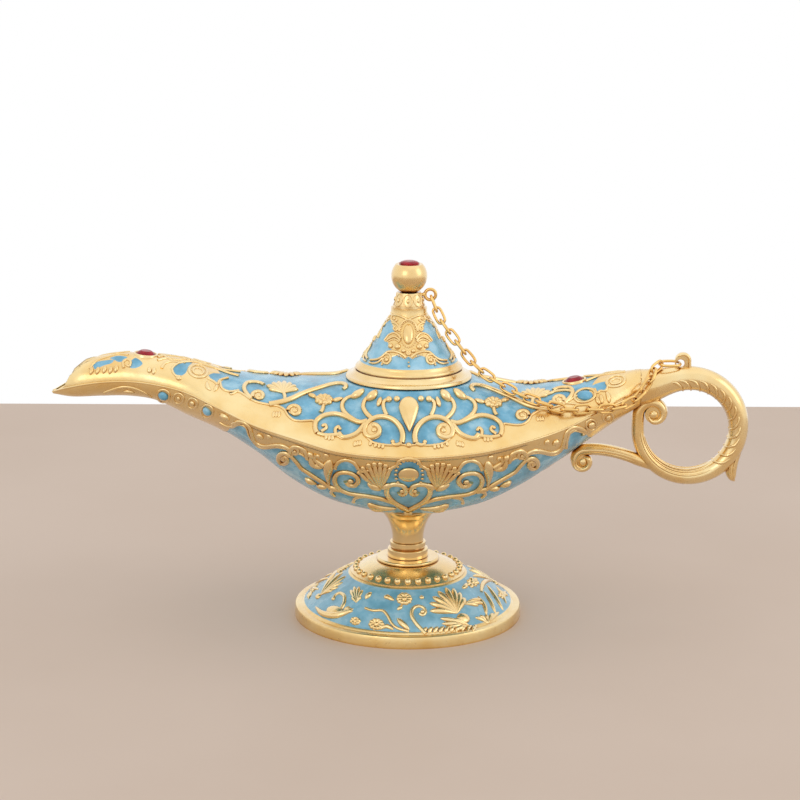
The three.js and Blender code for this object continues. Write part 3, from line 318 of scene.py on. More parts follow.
foot_outline = [
    (FOOT_RADIUS - FOOT_RIM_WIDTH, 0),
    (FOOT_RADIUS, 0),
    (FOOT_RADIUS, FOOT_RIM_HEIGHT),
    (FOOT_RADIUS - FOOT_LIP_CORNER[0], FOOT_LIP_HEIGHT - FOOT_LIP_CORNER[1]),
    (FOOT_RADIUS - FOOT_LIP_ROUND, FOOT_LIP_HEIGHT),
]
foot_outline += [
    (r, z - ENAMEL_DEPTH * smoothstep(foot_field(r), *FOOT_ENAMEL_EDGE)) for r, z in foot_slope]
foot_outline += [(BOLT_HOLE, FOOT_HEIGHT), (BOLT_HOLE, FOOT_HEIGHT - FOOT_WALL)]
foot_outline += [(r - FOOT_WALL / 2, z - FOOT_WALL) for r, z in reversed(foot_slope[::4])]
foot_bm = turned(foot_outline, 0, 128)
foot_bm.normal_update()
enamel_layer = foot_bm.verts.layers.float.new("enamel")
for vert in foot_bm.verts:
    reach = math.hypot(vert.co.x - AXIS_X, vert.co.y)
    vert[enamel_layer] = foot_field(reach) if vert.normal.z > 0 else -1
foot_tree = BVHTree.FromBMesh(foot_bm)
placed(foot_bm, "foot_dish", [foot_enamel], nodes=["foot"])

# Ornament on the foot
# Half-round gilt wires, leaves, beads and bosses follow the enamelled slope. Their places are
# read from enlarged views of the photograph and set on the slope; the back repeats the front.
PICTURE_LEAN = math.tan(math.radians(0.84))
SIGHT = Vector((0, math.cos(CAMERA_PITCH), -math.sin(CAMERA_PITCH)))
SIGHT_UP = Vector((0, math.sin(CAMERA_PITCH), math.cos(CAMERA_PITCH)))
WIRE_SINK = 0.15
WIRE_TIP = 0.12
LEAF_ROUND = 0.8
PETAL_FAT = 1.7
FLOWER_EYE = 1.2
RING_POINTS = 16
VOLUTE_SHRINK = 0.72
VOLUTE_THIN = 0.7
BOSS_HEIGHT = 0.75
GROUND_HEIGHT = 0.25


def seen(tree, px, py):
    half = PICTURE_SIZE / 2
    across = (px - half + (py - half) * PICTURE_LEAN) / FOCAL_PX
    line = SIGHT + Vector((across, 0, 0)) - SIGHT_UP * ((py - half) / FOCAL_PX)
    spot, normal, _, _ = tree.ray_cast(CAMERA_PLACE, line.normalized())
    return (spot, normal) if spot else None


def flowing(points, steps=4):
    ends = [points[0]] + list(points) + [points[-1]]
    line = []
    for a, b, c, d in zip(ends, ends[1:], ends[2:], ends[3:]):
        for i in range(steps):
            t = i / steps
            line.append(tuple(
                0.5 * (2 * q + (r - p) * t + (2 * p - 5 * q + 4 * r - s) * t * t
                       + (3 * q - p - 3 * r + s) * t ** 3)
                for p, q, r, s in zip(a, b, c, d)))
    line.append(tuple(points[-1]))
    return line


def curve_lines(name, detail, thick=1, caps=True):
    lines = bpy.data.curves.new(name, "CURVE")
    lines.dimensions = "3D"
    lines.bevel_depth = thick
    lines.bevel_resolution = detail
    lines.use_fill_caps = caps
    return lines


def add_line(lines, spots, sizes):
    spline = lines.splines.new("POLY")
    spline.points.add(len(spots) - 1)
    for point, spot, size in zip(spline.points, spots, sizes):
        point.co = (*spot, 1)
        point.radius = size


def add_tubes(bm, lines):
    holder = scene_object(lines.name, lines)
    tubes = bpy.data.meshes.new_from_object(
        holder.evaluated_get(bpy.context.evaluated_depsgraph_get()))
    bm.from_mesh(tubes)
    bpy.data.objects.remove(holder)
    bpy.data.meshes.remove(tubes)


def oval_point(centre, wide, tall, angle):
    return centre[0] + wide * math.cos(angle), centre[1] + tall * math.sin(angle)


def moved(point, step):
    return point[0] + step[0], point[1] + step[1]


class Ornament:
    """Wires and bosses on one surface. A view is an enlarged picture's left, top and scale."""

    def __init__(self, tree, copies, view, bold=1.0):
        self.tree = tree
        self.copies = copies
        self.view = view
        self.bold = bold
        self.lines = curve_lines("wires", 2)
        self.bosses = bmesh.new()

    def place(self, point):
        left, top, scale = self.view
        return seen(self.tree, left + point[0] / scale, top + point[1] / scale)

    def wire(self, points, start, end=None, steps=4, fat=None):
        end = start if end is None else end
        line = flowing(points, steps)
        hits = [self.place(point) for point in line]
        kept = [(i / (len(line) - 1), hit) for i, hit in enumerate(hits) if hit]
        if len(kept) < 2:
            return
        if fat is None:
            sizes = [self.bold * between(start, end, share) for share, hit in kept]
        else:
            sizes = [
                self.bold * (WIRE_TIP + start * math.sin(math.pi * share ** fat) ** LEAF_ROUND)
                for share, hit in kept]
        for copy in self.copies:
            places = [copy(*hit) for share, hit in kept]
            spots = [spot - normal * WIRE_SINK * size for (spot, normal), size in zip(places, sizes)]
            add_line(self.lines, spots, sizes)

    def strands(self, rows):
        for start, end, points in rows.values():
            self.wire(points, start, end)

    def leaf(self, points, size, fat=1.0):
        self.wire(points, size, fat=fat, steps=5)

    def leaves(self, rows):
        for size, fat, points in rows.values():
            self.leaf(points, size, fat)

    def fan(self, base, tips, size, fat=1.5, lift=0):
        for tip in tips:
            middle = ((base[0] + tip[0]) / 2, (base[1] + tip[1]) / 2 - lift)
            self.leaf((base, middle, tip), size, fat)

    def flower(self, centre, reach, petals, size, squash=0.75):
        turns = [2 * math.pi * k / petals for k in range(petals)]
        tips = [oval_point(centre, reach, squash * reach, angle) for angle in turns]
        self.fan(centre, tips, size, PETAL_FAT)
        self.boss(centre, size * FLOWER_EYE)

    def ring(self, centre, wide, tall, size, turn=0.0):
        points = []
        for k in range(RING_POINTS + 1):
            x, y = oval_point((0, 0), wide, tall, 2 * math.pi * k / RING_POINTS)
            points.append((
                centre[0] + x * math.cos(turn) - y * math.sin(turn),
                centre[1] + x * math.sin(turn) + y * math.cos(turn)))
        self.wire(points, size, steps=2)

    def rings(self, rows):
        for row in rows.values():
            self.ring(*row)

    def beads(self, centre, wide, tall, count, size):
        for k in range(count):
            self.boss(oval_point(centre, wide, tall, 2 * math.pi * k / count), size)

    def volute(self, centre, radius, wire, start, turns=1.3, squash=0.9, bead=0.9, spin=1):
        points = []
        count = int(10 * turns)
        for i in range(count + 1):
            share = i / count
            angle = math.radians(start) + spin * 2 * math.pi * turns * share
            reach = radius * (1 - VOLUTE_SHRINK * share)
            points.append(oval_point(centre, reach, -squash * reach, angle))
        self.wire(points, wire, wire * VOLUTE_THIN, steps=2)
        self.boss(centre, bead)

    def volutes(self, rows):
        for row in rows.values():
            self.volute(*row)

    def boss(self, centre, size, long=None, high=None, segments=10, tip=None):
        hit = self.place(centre)
        if not hit:
            return
        long = size if long is None else long
        high = size * BOSS_HEIGHT if high is None else high
        for copy in self.copies:
            spot, normal = copy(*hit)
            side = Vector((0, 0, 1)).cross(normal)
            side = side.normalized() if side.length > 0.01 else Vector((1, 0, 0))
            axes = Matrix((side, normal.cross(side), normal)).transposed().to_4x4()
            made = bmesh.ops.create_uvsphere(
                self.bosses, u_segments=segments, v_segments=segments * 3 // 5, radius=1)
            if tip:
                for vert in made["verts"]:
                    if vert.co.y < 0:
                        vert.co.x *= math.sqrt(max(0, 1 + vert.co.y))
                        vert.co.y *= tip
            place = Matrix.Translation(spot) @ axes @ Matrix.Diagonal((size, long, high, 1))
            bmesh.ops.transform(self.bosses, matrix=place, verts=made["verts"])

    def studs(self, rows):
        for centre, size in rows.values():
            self.boss(centre, size)

    def grounds(self, rows):
        for centre, wide, tall in rows.values():
            self.boss(centre, wide, tall, GROUND_HEIGHT, segments=16)

    def finish(self, name, material, body="lamp", enamelled=False):
        add_tubes(self.bosses, self.lines)
        if enamelled:
            layer = self.bosses.verts.layers.float.new("enamel")
            for vert in self.bosses.verts:
                vert[layer] = 1
        placed(self.bosses, name, [material], body, sharp=60)


def turned_copies(count):
    copies = []
    for i in range(count):
        turn = Matrix.Translation((AXIS_X, 0, 0)) @ Matrix.Rotation(2 * math.pi * i / count, 4, "Z")
        turn = turn @ Matrix.Translation((-AXIS_X, 0, 0))
        copies.append(
            lambda spot, normal, turn=turn: (turn @ spot, (turn.to_3x3() @ normal).normalized()))
    return copies


FOOT_VIEW = (285, 550, 6.533)
FOOT_STRANDS = {
    "swan's neck": (0.7, 0.5, ((352, 388), (374, 345), (374, 302), (347, 283), (316, 298), (300, 325))),
    "flower stem": (
        0.5, 0.5, ((510, 380), (560, 396), (622, 396), (656, 430), (682, 480), (722, 512), (795, 532))),
    "curled stem": (
        0.7, 0.5, ((905, 545), (850, 490), (815, 435), (818, 390), (850, 367), (890, 376), (904, 404),
                   (886, 426), (866, 414))),
}
FOOT_FANS = {
    "swan's wing": (
        0.75, (215, 300), ((330, 132), (366, 146), (386, 172), (366, 212), (336, 244), (298, 266))),
    "swan's tail": (0.6, (360, 420), ((424, 384), (408, 372), (430, 400))),
    "tulip": (0.6, (452, 345), ((415, 262), (440, 240), (470, 240), (494, 262), (424, 310), (486, 308))),
    "shell": (
        1.05, (1112, 412), ((932, 398), (930, 346), (950, 304), (986, 268), (1036, 244), (1086, 248),
                            (1130, 274), (1162, 310))),
    "shell's foot": (0.8, (1190, 492), ((1000, 446), (1010, 482), (1052, 504), (1102, 522), (1080, 452))),
    "shell's leaf": (0.7, (1150, 352), ((1290, 346), (1272, 318), (1250, 362))),
    "lower tuft": (0.6, (1310, 478), ((1228, 438), (1258, 424), (1300, 418), (1344, 410), (1384, 402))),
}
FOOT_LEAVES = {
    "drop": (0.8, ((512, 322), (530, 300), (552, 276))),
    "stem leaf": (0.9, ((718, 446), (752, 482), (798, 522))),
    "second stem leaf": (0.7, ((600, 520), (648, 498), (694, 522))),
    "rosette leaf": (0.7, ((700, 330), (664, 312), (634, 304))),
    "rosette stalk": (0.6, ((752, 360), (738, 378), (718, 392))),
    "spray leaf": (0.7, ((1146, 250), (1166, 236), (1176, 214))),
    "right plume": (0.75, ((1290, 150), (1360, 178), (1420, 222))),
    "swan's back": (1.2, ((185, 372), (230, 416), (310, 430), (380, 412), (432, 384))),
    "first reed": (0.7, ((1308, 228), (1362, 308), (1412, 392))),
    "second reed": (0.7, ((1288, 268), (1330, 340), (1362, 412))),
    "third reed": (0.7, ((1246, 300), (1288, 360), (1302, 424))),
    "fourth reed": (0.6, ((1368, 236), (1404, 290), (1432, 346))),
}
FOOT_FLOWERS = {
    "small daisy": ((445, 466), 36, 8, 0.65),
    "daisy": ((582, 486), 54, 10, 0.7),
    "rosette": ((766, 320), 55, 10, 0.8),
    "spray": ((1212, 212), 42, 7, 0.7),
    "right flower": ((1408, 290), 30, 7, 0.55),
}
FOOT_BOSSES = {
    "swan's body": ((312, 404), 3.8, 2.0, 1.0),
    "swan's breast": ((205, 306), 1.4, 1.1, 0.7),
    "swan's head": ((303, 322), 0.75, 0.65, 0.6),
    "bead": ((880, 310), 0.75, 0.75, 0.6),
    "curl's bead": ((884, 404), 0.7, 0.7, 0.6),
    "shell's hinge": ((1150, 446), 2.3, 1.9, 0.9),
    "bud": ((655, 308), 1.1, 0.9, 0.7),
}
FRINGE_LEAVES = 10
FRINGE_START = (888, 546)
FRINGE_STEP = (36, -2)
FRINGE_BEND = (8, -22)
FRINGE_REACH = (26, -42)
FRINGE_SIZE = 0.65
foot_work = Ornament(foot_tree, turned_copies(2), FOOT_VIEW)
foot_work.strands(FOOT_STRANDS)
for size, base, tips in FOOT_FANS.values():
    foot_work.fan(base, tips, size, lift=6)
for size, points in FOOT_LEAVES.values():
    foot_work.leaf(points, size)
for centre, reach, petals, size in FOOT_FLOWERS.values():
    foot_work.flower(centre, reach, petals, size)
for centre, size, long, high in FOOT_BOSSES.values():
    foot_work.boss(centre, size, long, high, segments=14)
for k in range(FRINGE_LEAVES):
    root = moved(FRINGE_START, (FRINGE_STEP[0] * k, FRINGE_STEP[1] * k))
    foot_work.leaf((root, moved(root, FRINGE_BEND), moved(root, FRINGE_REACH)), FRINGE_SIZE)
foot_work.finish("foot_ornament", gilt)

# Saucer
# A low turned brass dome that covers the foot's crown, with a ring of round beads raised
# inside its edge. It is clamped by the tie bolt.
SAUCER_HEIGHT = 3.7
SAUCER_TOP_RADIUS = 9.8
SAUCER_EDGE = 0.7
SAUCER_DOME = 0.9
BEAD_COUNT = 32
BEAD_RADIUS = 1.05
BEAD_INSET = 1.7
saucer_start = (FOOT_TOP_RADIUS - SAUCER_EDGE, SAUCER_EDGE)
saucer_end = (SAUCER_TOP_RADIUS, SAUCER_HEIGHT)
saucer_middle = tuple((a + b) / 2 for a, b in zip(saucer_start, saucer_end))
saucer_bm = turned([
    (BOLT_HOLE, 0),
    (FOOT_TOP_RADIUS, 0),
    (FOOT_TOP_RADIUS, SAUCER_EDGE / 2),
    *bent(saucer_start, (saucer_middle[0], saucer_middle[1] + SAUCER_DOME), saucer_end, 16),
    (BOLT_HOLE, SAUCER_HEIGHT),
], FOOT_HEIGHT)
bead_share = (BEAD_INSET - SAUCER_EDGE) / (saucer_start[0] - saucer_end[0])
bead_height = FOOT_HEIGHT + between(saucer_start[1], saucer_end[1], bead_share) + SAUCER_DOME * bead_share
for i in range(BEAD_COUNT):
    turn = Matrix.Translation((AXIS_X, 0, 0)) @ Matrix.Rotation(2 * math.pi * i / BEAD_COUNT, 4, "Z")
    place = turn @ Matrix.Translation((FOOT_TOP_RADIUS - BEAD_INSET, 0, bead_height))
    bmesh.ops.create_uvsphere(saucer_bm, u_segments=12, v_segments=8, radius=BEAD_RADIUS, matrix=place)
placed(saucer_bm, "saucer_dome", [gilt], nodes=["beaded_saucer"])

# Stem
# Three turned brass pieces threaded on the tie bolt: a thin ring, a grooved knob and a cup that
# flares out under the hull.
RING_Z = FOOT_HEIGHT + SAUCER_HEIGHT
RING_RADIUS = 9.6
RING_HEIGHT = 1.1
RING_ROUND = 0.3
KNOB_Z = RING_Z + RING_HEIGHT
KNOB_RADIUS = 6.2
KNOB_HEIGHT = 4.8
KNOB_BAND = 2.6
KNOB_GROOVE_RADIUS = 5
KNOB_GROOVE = 0.7
KNOB_TOP_RADIUS = 5.5
CUP_Z = KNOB_Z + KNOB_HEIGHT
CUP_LOW_RADIUS = 4.75
CUP_TOP_RADIUS = 7.4
CUP_HEIGHT = 9.5
CUP_LIP = 0.8
CUP_WAIST = 0.6
CUP_FLARE = ((0.3, 0), (1.3, 1), (1, 1.2))
HULL_Z = CUP_Z + CUP_HEIGHT
ring_bm = turned([
    (BOLT_HOLE, 0), (RING_RADIUS - RING_ROUND, 0), (RING_RADIUS, RING_ROUND),
    (RING_RADIUS, RING_HEIGHT - RING_ROUND), (RING_RADIUS - RING_ROUND, RING_HEIGHT),
    (BOLT_HOLE, RING_HEIGHT)], RING_Z)
placed(ring_bm, "stem_ring_turned", [polished_gilt], nodes=["stem_ring"], edge=0.15)
knob_bm = turned([
    (BOLT_HOLE, 0), (KNOB_RADIUS, 0), (KNOB_RADIUS, KNOB_BAND),
    (KNOB_GROOVE_RADIUS, KNOB_BAND + KNOB_GROOVE / 2), (KNOB_GROOVE_RADIUS, KNOB_BAND + KNOB_GROOVE),
    (KNOB_TOP_RADIUS, KNOB_BAND + KNOB_GROOVE), (KNOB_TOP_RADIUS, KNOB_HEIGHT),
    (BOLT_HOLE, KNOB_HEIGHT)], KNOB_Z)
placed(knob_bm, "stem_knob_turned", [polished_gilt], nodes=["stem_knob"], edge=0.25)
cup_bm = turned([
    (BOLT_HOLE, 0),
    *bent((CUP_LOW_RADIUS, 0), (CUP_LOW_RADIUS, (CUP_HEIGHT - CUP_LIP) * CUP_WAIST),
          (CUP_TOP_RADIUS, CUP_HEIGHT - CUP_LIP), 20),
    *(moved((CUP_TOP_RADIUS, CUP_HEIGHT), step) for step in CUP_FLARE),
    (BOLT_HOLE, CUP_HEIGHT)], CUP_Z)
placed(cup_bm, "stem_cup_turned", [polished_gilt], nodes=["stem_cup"], edge=0.15)

# Tie bolt, washer, nut and the finial's bolt
# Plain steel fasteners inside the lamp. The solids have the right shape and keep their places,
# with a turned grey finish.
STEEL_NOISE = (700, 3)
STEEL_GRAIN = (1800, 4)
STEEL_DARK = (0.24, 0.23, 0.22)
STEEL_PALE = (0.5, 0.49, 0.47)


def mottled_material(name, noise, dark, pale, low=0.35, high=0.65):
    material, shader, links = blank(name)
    colour = ramp(material, mottle(material, *noise), ((low, dark), (high, pale)))
    links.new(colour, shader.inputs["Base Color"])
    return material, shader


def dressed(node, material):
    for material_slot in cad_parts[node].material_slots:
        material_slot.material = material


steel, steel_shader = mottled_material(
    "turned_steel", STEEL_NOISE, STEEL_DARK, STEEL_PALE, NOISE_LOW, NOISE_HIGH)
set_inputs(steel_shader, {"Metallic": 1})
steel.node_tree.links.new(
    spread(steel, mottle(steel, *STEEL_GRAIN), 0.3, 0.5), steel_shader.inputs["Roughness"])
for name in ("tie_bolt", "bolt_washer", "bolt_nut", "finial_bolt"):
    dressed(name, steel)

# Lower shell
# The boat-shaped hull and the under side of the spout, one cast brass shell. A gilt band runs
# under its rim, and the rest is enamelled between raised gilt scrolls.
BODY_ROWS = (
    (-107.6, 0.6, 37.1, 38.6, 36.3, 0),
    (-101.5, 6, 39.7, 45.6, 35.6, 0),
    (-93, 7.5, 41.4, 47.9, 35.9, 0),
    (-84, 8.5, 42, 49, 36, 0),
    (-76, 9.3, 41.3, 48.3, 34.7, 0),
    (-66.5, 12, 39.6, 46.9, 30.2, 0.1),
    (-56, 18.8, 36.4, 43.7, 25.7, 0.4),
    (-45.5, 25, 32.9, 42, 18.9, 0.8),
    (-34, 29.3, 30.1, 41.2, 9.7, 1),
    (-20, 32.2, 26.7, 42.1, 2.9, 1),
    (0, 33, 25.2, 49.1, -0.3, 1),
    (20, 30.4, 26.1, 41.7, 2.4, 1),
    (34, 24.8, 28, 39.3, 8.7, 0.9),
    (46, 18.6, 30.5, 40.5, 16.8, 0.6),
    (58, 12.2, 34.9, 42.7, 25.6, 0.25),
    (70, 5.2, 38.7, 44.6, 33.5, 0),
)
SPOUT_TIP = BODY_ROWS[0][0]
TAIL_END = BODY_ROWS[-1][0]
NECK_HEIGHT = 42.1
COLLAR_RADIUS = 19
NECK_BLEND = 3
SEAM_GAP = 0.1
BODY_WALL = 1.4
BODY_STEPS = 340
SECTION_STEPS = 112
HULL_BELL = 0.4
DECK_BELL = 0.75
DECK_SHOULDER = 0.6
LENGTH_STEP = 0.2
SHARE_STEP = 0.01
END_GAP = 1
ENAMEL_EDGE = (-0.2, 0.35)
FIELD_LIMIT = 2
BODY_DEEP = (0.07, 0.32, 0.50)
BODY_MID = (0.15, 0.48, 0.70)
BODY_PALE = (0.38, 0.69, 0.86)
body_cache = {}


def body_at(x):
    key = round(x, 3)
    if key not in body_cache:
        last = len(BODY_ROWS) - 1
        i = min(last - 1, max(0, sum(row[0] < x for row in BODY_ROWS) - 1))

        def slope(k, item):
            low, high = BODY_ROWS[max(0, k - 1)], BODY_ROWS[min(last, k + 1)]
            return (high[item] - low[item]) / (high[0] - low[0])

        first, second = BODY_ROWS[i], BODY_ROWS[i + 1]
        span = second[0] - first[0]
        t = (x - first[0]) / span
        values = []
        for item in range(1, 6):
            m, n = span * slope(i, item), span * slope(i + 1, item)
            c = 3 * (second[item] - first[item]) - 2 * m - n
            d = 2 * (first[item] - second[item]) + m + n
            values.append(first[item] + t * (m + t * (c + t * d)))
        body_cache[key] = values
    return body_cache[key]


def hull_spot(x, share):
    half, rim, ridge, keel, bell = body_at(x)
    fall = max(0, 1 - share * share) ** (0.5 + HULL_BELL * bell)
    height = rim - SEAM_GAP - (rim - SEAM_GAP - keel) * fall
    return Vector((AXIS_X + x, half * share, HULL_Z + height))


def deck_spot(x, share):
    half, rim, ridge, keel, bell = body_at(x)
    rise = max(0, 1 - min(1, abs(share)) ** (2 + DECK_SHOULDER * bell)) ** (0.5 + DECK_BELL * bell)
    free = rim + (ridge - rim) * rise
    blend = smoothstep(math.hypot(x, half * share), COLLAR_RADIUS, COLLAR_RADIUS + NECK_BLEND)
    return Vector((AXIS_X + x, half * share, HULL_Z + between(NECK_HEIGHT, free, blend)))


def body_share(spot):
    x = spot.x - AXIS_X
    return x, max(-1, min(1, spot.y / body_at(x)[0]))


def body_grid(spot_at):
    bm = bmesh.new()
    bmesh.ops.create_grid(bm, x_segments=BODY_STEPS, y_segments=SECTION_STEPS, size=1)
    for vert in bm.verts:
        x = between(SPOUT_TIP, TAIL_END, (vert.co.x + 1) / 2)
        vert.co = spot_at(x, math.sin(vert.co.y * math.pi / 2))
    return bm


def body_copies(spot_at, outward, ends=(1, -1)):
    def copy_of(along, across):
        def copy(spot, normal):
            x, share = body_share(spot)
            x = max(SPOUT_TIP + END_GAP, min(TAIL_END - END_GAP, x * along))
            share *= across
            here = spot_at(x, share)
            ahead = spot_at(x + LENGTH_STEP, share) - spot_at(x - LENGTH_STEP, share)
            share = max(SHARE_STEP - 1, min(1 - SHARE_STEP, share))
            aside = spot_at(x, share + SHARE_STEP) - spot_at(x, share - SHARE_STEP)
            return here, ahead.cross(aside).normalized() * outward
        return copy
    return [copy_of(along, across) for along in ends for across in (1, -1)]


# The enlarged view of the belly, moved so that the middle of its pattern is on the lamp's axis
BELLY_VIEW = (232.5, 340, 8.25)
HULL_BAND_EDGE = (
    (-20, 722), (0, 720), (60, 705), (110, 730), (130, 790), (170, 850), (215, 890), (270, 900),
    (350, 890), (440, 905), (480, 950), (540, 940), (590, 965), (640, 1010), (700, 1035),
    (760, 1050), (820, 1045), (870, 1008), (935, 990), (1000, 1012), (1040, 1065), (1100, 1080),
    (1200, 1075), (1300, 1065), (1345, 1040), (1370, 1000), (1452, 990))
FIELD_TIP = 58
FIELD_EDGE = 0.5
HULL_SEAT = 11
STRUT_SEAT = 3.2
STRUT_SEAT_START = 43


def edge_line(tree, view, points):
    left, top, scale = view
    hits = [seen(tree, left + x / scale, top + y / scale) for x, y in flowing(points, 3)]
    places = [body_share(hit[0]) for hit in hits if hit]
    return sorted((-abs(x), abs(share)) for x, share in places)


def edge_share(line, x):
    reach = -abs(x)
    if reach <= line[0][0]:
        return line[0][1] * max(0, (reach + FIELD_TIP) / (line[0][0] + FIELD_TIP))
    for low, high in zip(line, line[1:]):
        if reach <= high[0]:
            return between(low[1], high[1], (reach - low[0]) / max(0.001, high[0] - low[0]))
    return line[-1][1]


def enamel_depth(line, spot, height):
    x, share = body_share(spot)
    if abs(x) > FIELD_TIP:
        return -abs(share) * body_at(x)[0] - FIELD_EDGE
    return (edge_share(line, x) - abs(share)) * math.hypot(body_at(x)[0], height)


def enamel_sunk(bm, field):
    layer = bm.verts.layers.float.new("enamel")
    depths = []
    for vert in bm.verts:
        vert[layer] = max(-FIELD_LIMIT, min(FIELD_LIMIT, field(vert.co)))
        depths.append(vert.normal * ENAMEL_DEPTH * smoothstep(vert[layer], *ENAMEL_EDGE))
    for vert, depth in zip(bm.verts, depths):
        vert.co -= depth


def shelled(piece):
    wall = piece.modifiers.new("wall", "SOLIDIFY")
    wall.thickness = BODY_WALL * MM
    wall.offset = -1
    wall.material_offset = 1
    wall.material_offset_rim = 1


def hull_field(spot):
    half, rim, ridge, keel, bell = body_at(spot.x - AXIS_X)
    seat = math.hypot(spot.x - AXIS_X, spot.y) - HULL_SEAT
    if spot.x - AXIS_X > STRUT_SEAT_START - STRUT_SEAT:
        past = max(0, STRUT_SEAT_START - spot.x + AXIS_X)
        seat = math.hypot(past, spot.y) - STRUT_SEAT
    return min(seat, enamel_depth(hull_edge, spot, rim - keel))


hull_bm = body_grid(hull_spot)
bmesh.ops.reverse_faces(hull_bm, faces=hull_bm.faces)
hull_bm.normal_update()
hull_tree = BVHTree.FromBMesh(hull_bm)
hull_edge = edge_line(hull_tree, BELLY_VIEW, HULL_BAND_EDGE)
enamel_sunk(hull_bm, hull_field)
hull_enamel = enamelled_material("hull_enamel", BODY_DEEP, BODY_MID, BODY_PALE)
shelled(placed(
    hull_bm, "hull_shell", [hull_enamel, gilt], nodes=["lower_shell"], sharp=70))

# Scrolls on the hull
# Raised gilt scrolls, palm fans, leaves and a beaded oval in the middle of each side, cast with
# the shell. The two ends and the two sides mirror each other. The spout has enamelled studs.
STRAND_BOLD = 1.2
BAND_EDGE_SIZE = 0.32
HULL_STRANDS = {
    "band scroll": (
        0.6, 0.6, ((0, 700), (50, 680), (100, 690), (140, 730), (155, 780), (175, 835), (215, 868),
                   (270, 882), (340, 874), (400, 874), (450, 895), (480, 920))),
    "bow over the palm": (
        0.7, 0.6, ((480, 905), (500, 888), (535, 885), (580, 905), (605, 940), (612, 985))),
    "long stem": (
        0.6, 0.75, ((470, 955), (520, 1010), (560, 1060), (620, 1100), (680, 1140), (740, 1178),
                    (790, 1210))),
    "palm hook": (0.8, 0.5, ((745, 1040), (705, 1015), (672, 985), (680, 945))),
    "stem's end": (0.8, 0.8, ((790, 1215), (830, 1225), (880, 1240))),
    "heart": (
        0.8, 0.65, ((1452, 1408), (1380, 1372), (1315, 1332), (1272, 1282), (1265, 1235), (1290, 1200),
                    (1345, 1190), (1400, 1205), (1424, 1238), (1416, 1266), (1388, 1276), (1366, 1256))),
    "keel scroll": (
        0.7, 0.7, ((1330, 1345), (1230, 1312), (1130, 1292), (1040, 1280), (950, 1265), (880, 1235),
                   (842, 1190), (836, 1142), (860, 1107), (910, 1094), (970, 1102), (1018, 1130),
                   (1030, 1168), (1002, 1200), (955, 1197), (928, 1168))),
    "keel tendril": (0.6, 0.4, ((1080, 1292), (1030, 1298), (1000, 1312), (985, 1340))),
    "keel hook": (0.65, 0.45, ((880, 1245), (830, 1240), (806, 1262), (832, 1290))),
    "heart's foot": (0.7, 0.75, ((1330, 1345), (1380, 1380), (1452, 1408))),
    "small arch": (0.55, 0.55, ((835, 1060), (868, 1012), (930, 990), (992, 1012), (1032, 1062))),
    "fan's bow": (0.5, 0.5, ((1032, 1062), (1060, 1085), (1100, 1078))),
    "oval's collar": (0.5, 0.5, ((1300, 1060), (1345, 1036), (1368, 1000), (1400, 985), (1452, 980))),
}
HULL_LEAVES = {
    "low leaf": (1.0, 1.0, ((590, 1145), (630, 1165), (685, 1195))),
    "second low leaf": (0.8, 1.0, ((685, 1205), (725, 1212), (775, 1218))),
    "palm trunk": (1.3, 1.6, ((790, 1222), (780, 1130), (785, 1050), (800, 990))),
    "palm frond": (0.9, 1.0, ((740, 1060), (660, 1030), (640, 960))),
    "pod": (1.1, 0.6, ((1108, 1352), (1180, 1378), (1260, 1388), (1345, 1390))),
    "pod's leaf": (0.7, 0.8, ((1120, 1378), (1180, 1398), (1250, 1404))),
    "fan's left leaf": (0.95, 1.0, ((1215, 1240), (1165, 1212), (1105, 1185))),
    "fan's right leaf": (0.8, 1.0, ((1225, 1232), (1262, 1205), (1298, 1190))),
    "band leaf": (0.8, 1.0, ((610, 930), (640, 950), (660, 985))),
}
HULL_BEADS = {
    "band bead": ((225, 800), 1.25), "second band bead": ((300, 800), 1.0),
    "palm bead": ((770, 955), 0.95), "second palm bead": ((700, 960), 0.8),
    "heart's bead": ((1392, 1246), 0.8), "keel scroll's bead": ((968, 1165), 0.95),
    "tendril's bead": ((990, 1338), 0.6), "arch's left bead": ((840, 1062), 0.6),
    "arch's right bead": ((1030, 1064), 0.6), "heart's tip": ((1452, 1425), 0.9),
}
HULL_VOLUTES = {
    "under the bow": ((510, 925), 42, 0.55, 200, 1.2, 1, 0.7, -1),
    "under the band": ((418, 990), 58, 0.75, 30, 1.35, 1, 0.85),
}
HULL_GROUNDS = {"under the volute": ((418, 990), 1.9, 1.9)}
HULL_FAN_BASE = (1210, 1245)
HULL_FAN_TIPS = (
    (1040, 1095), (1070, 1058), (1118, 1034), (1166, 1024), (1212, 1024), (1256, 1038), (1292, 1066))
HULL_FAN_BEAD = (0.85, 0.85, 0.6)
HULL_OVAL = (1452, 1110)
HULL_OVAL_SIZE = (3.1, 3.0, 1.2)
HULL_OVAL_BEADS = (112, 118, 22, 0.5)
hull_work = Ornament(hull_tree, body_copies(hull_spot, -1), BELLY_VIEW, STRAND_BOLD)
hull_work.wire(HULL_BAND_EDGE, BAND_EDGE_SIZE, steps=3)
hull_work.strands(HULL_STRANDS)
hull_work.leaves(HULL_LEAVES)
hull_work.studs(HULL_BEADS)
hull_work.volutes(HULL_VOLUTES)
hull_work.grounds(HULL_GROUNDS)
hull_work.fan(HULL_FAN_BASE, HULL_FAN_TIPS, 0.6, 2)
for tip in HULL_FAN_TIPS:
    hull_work.boss(tip, *HULL_FAN_BEAD)
hull_work.finish("hull_scrolls", gilt)

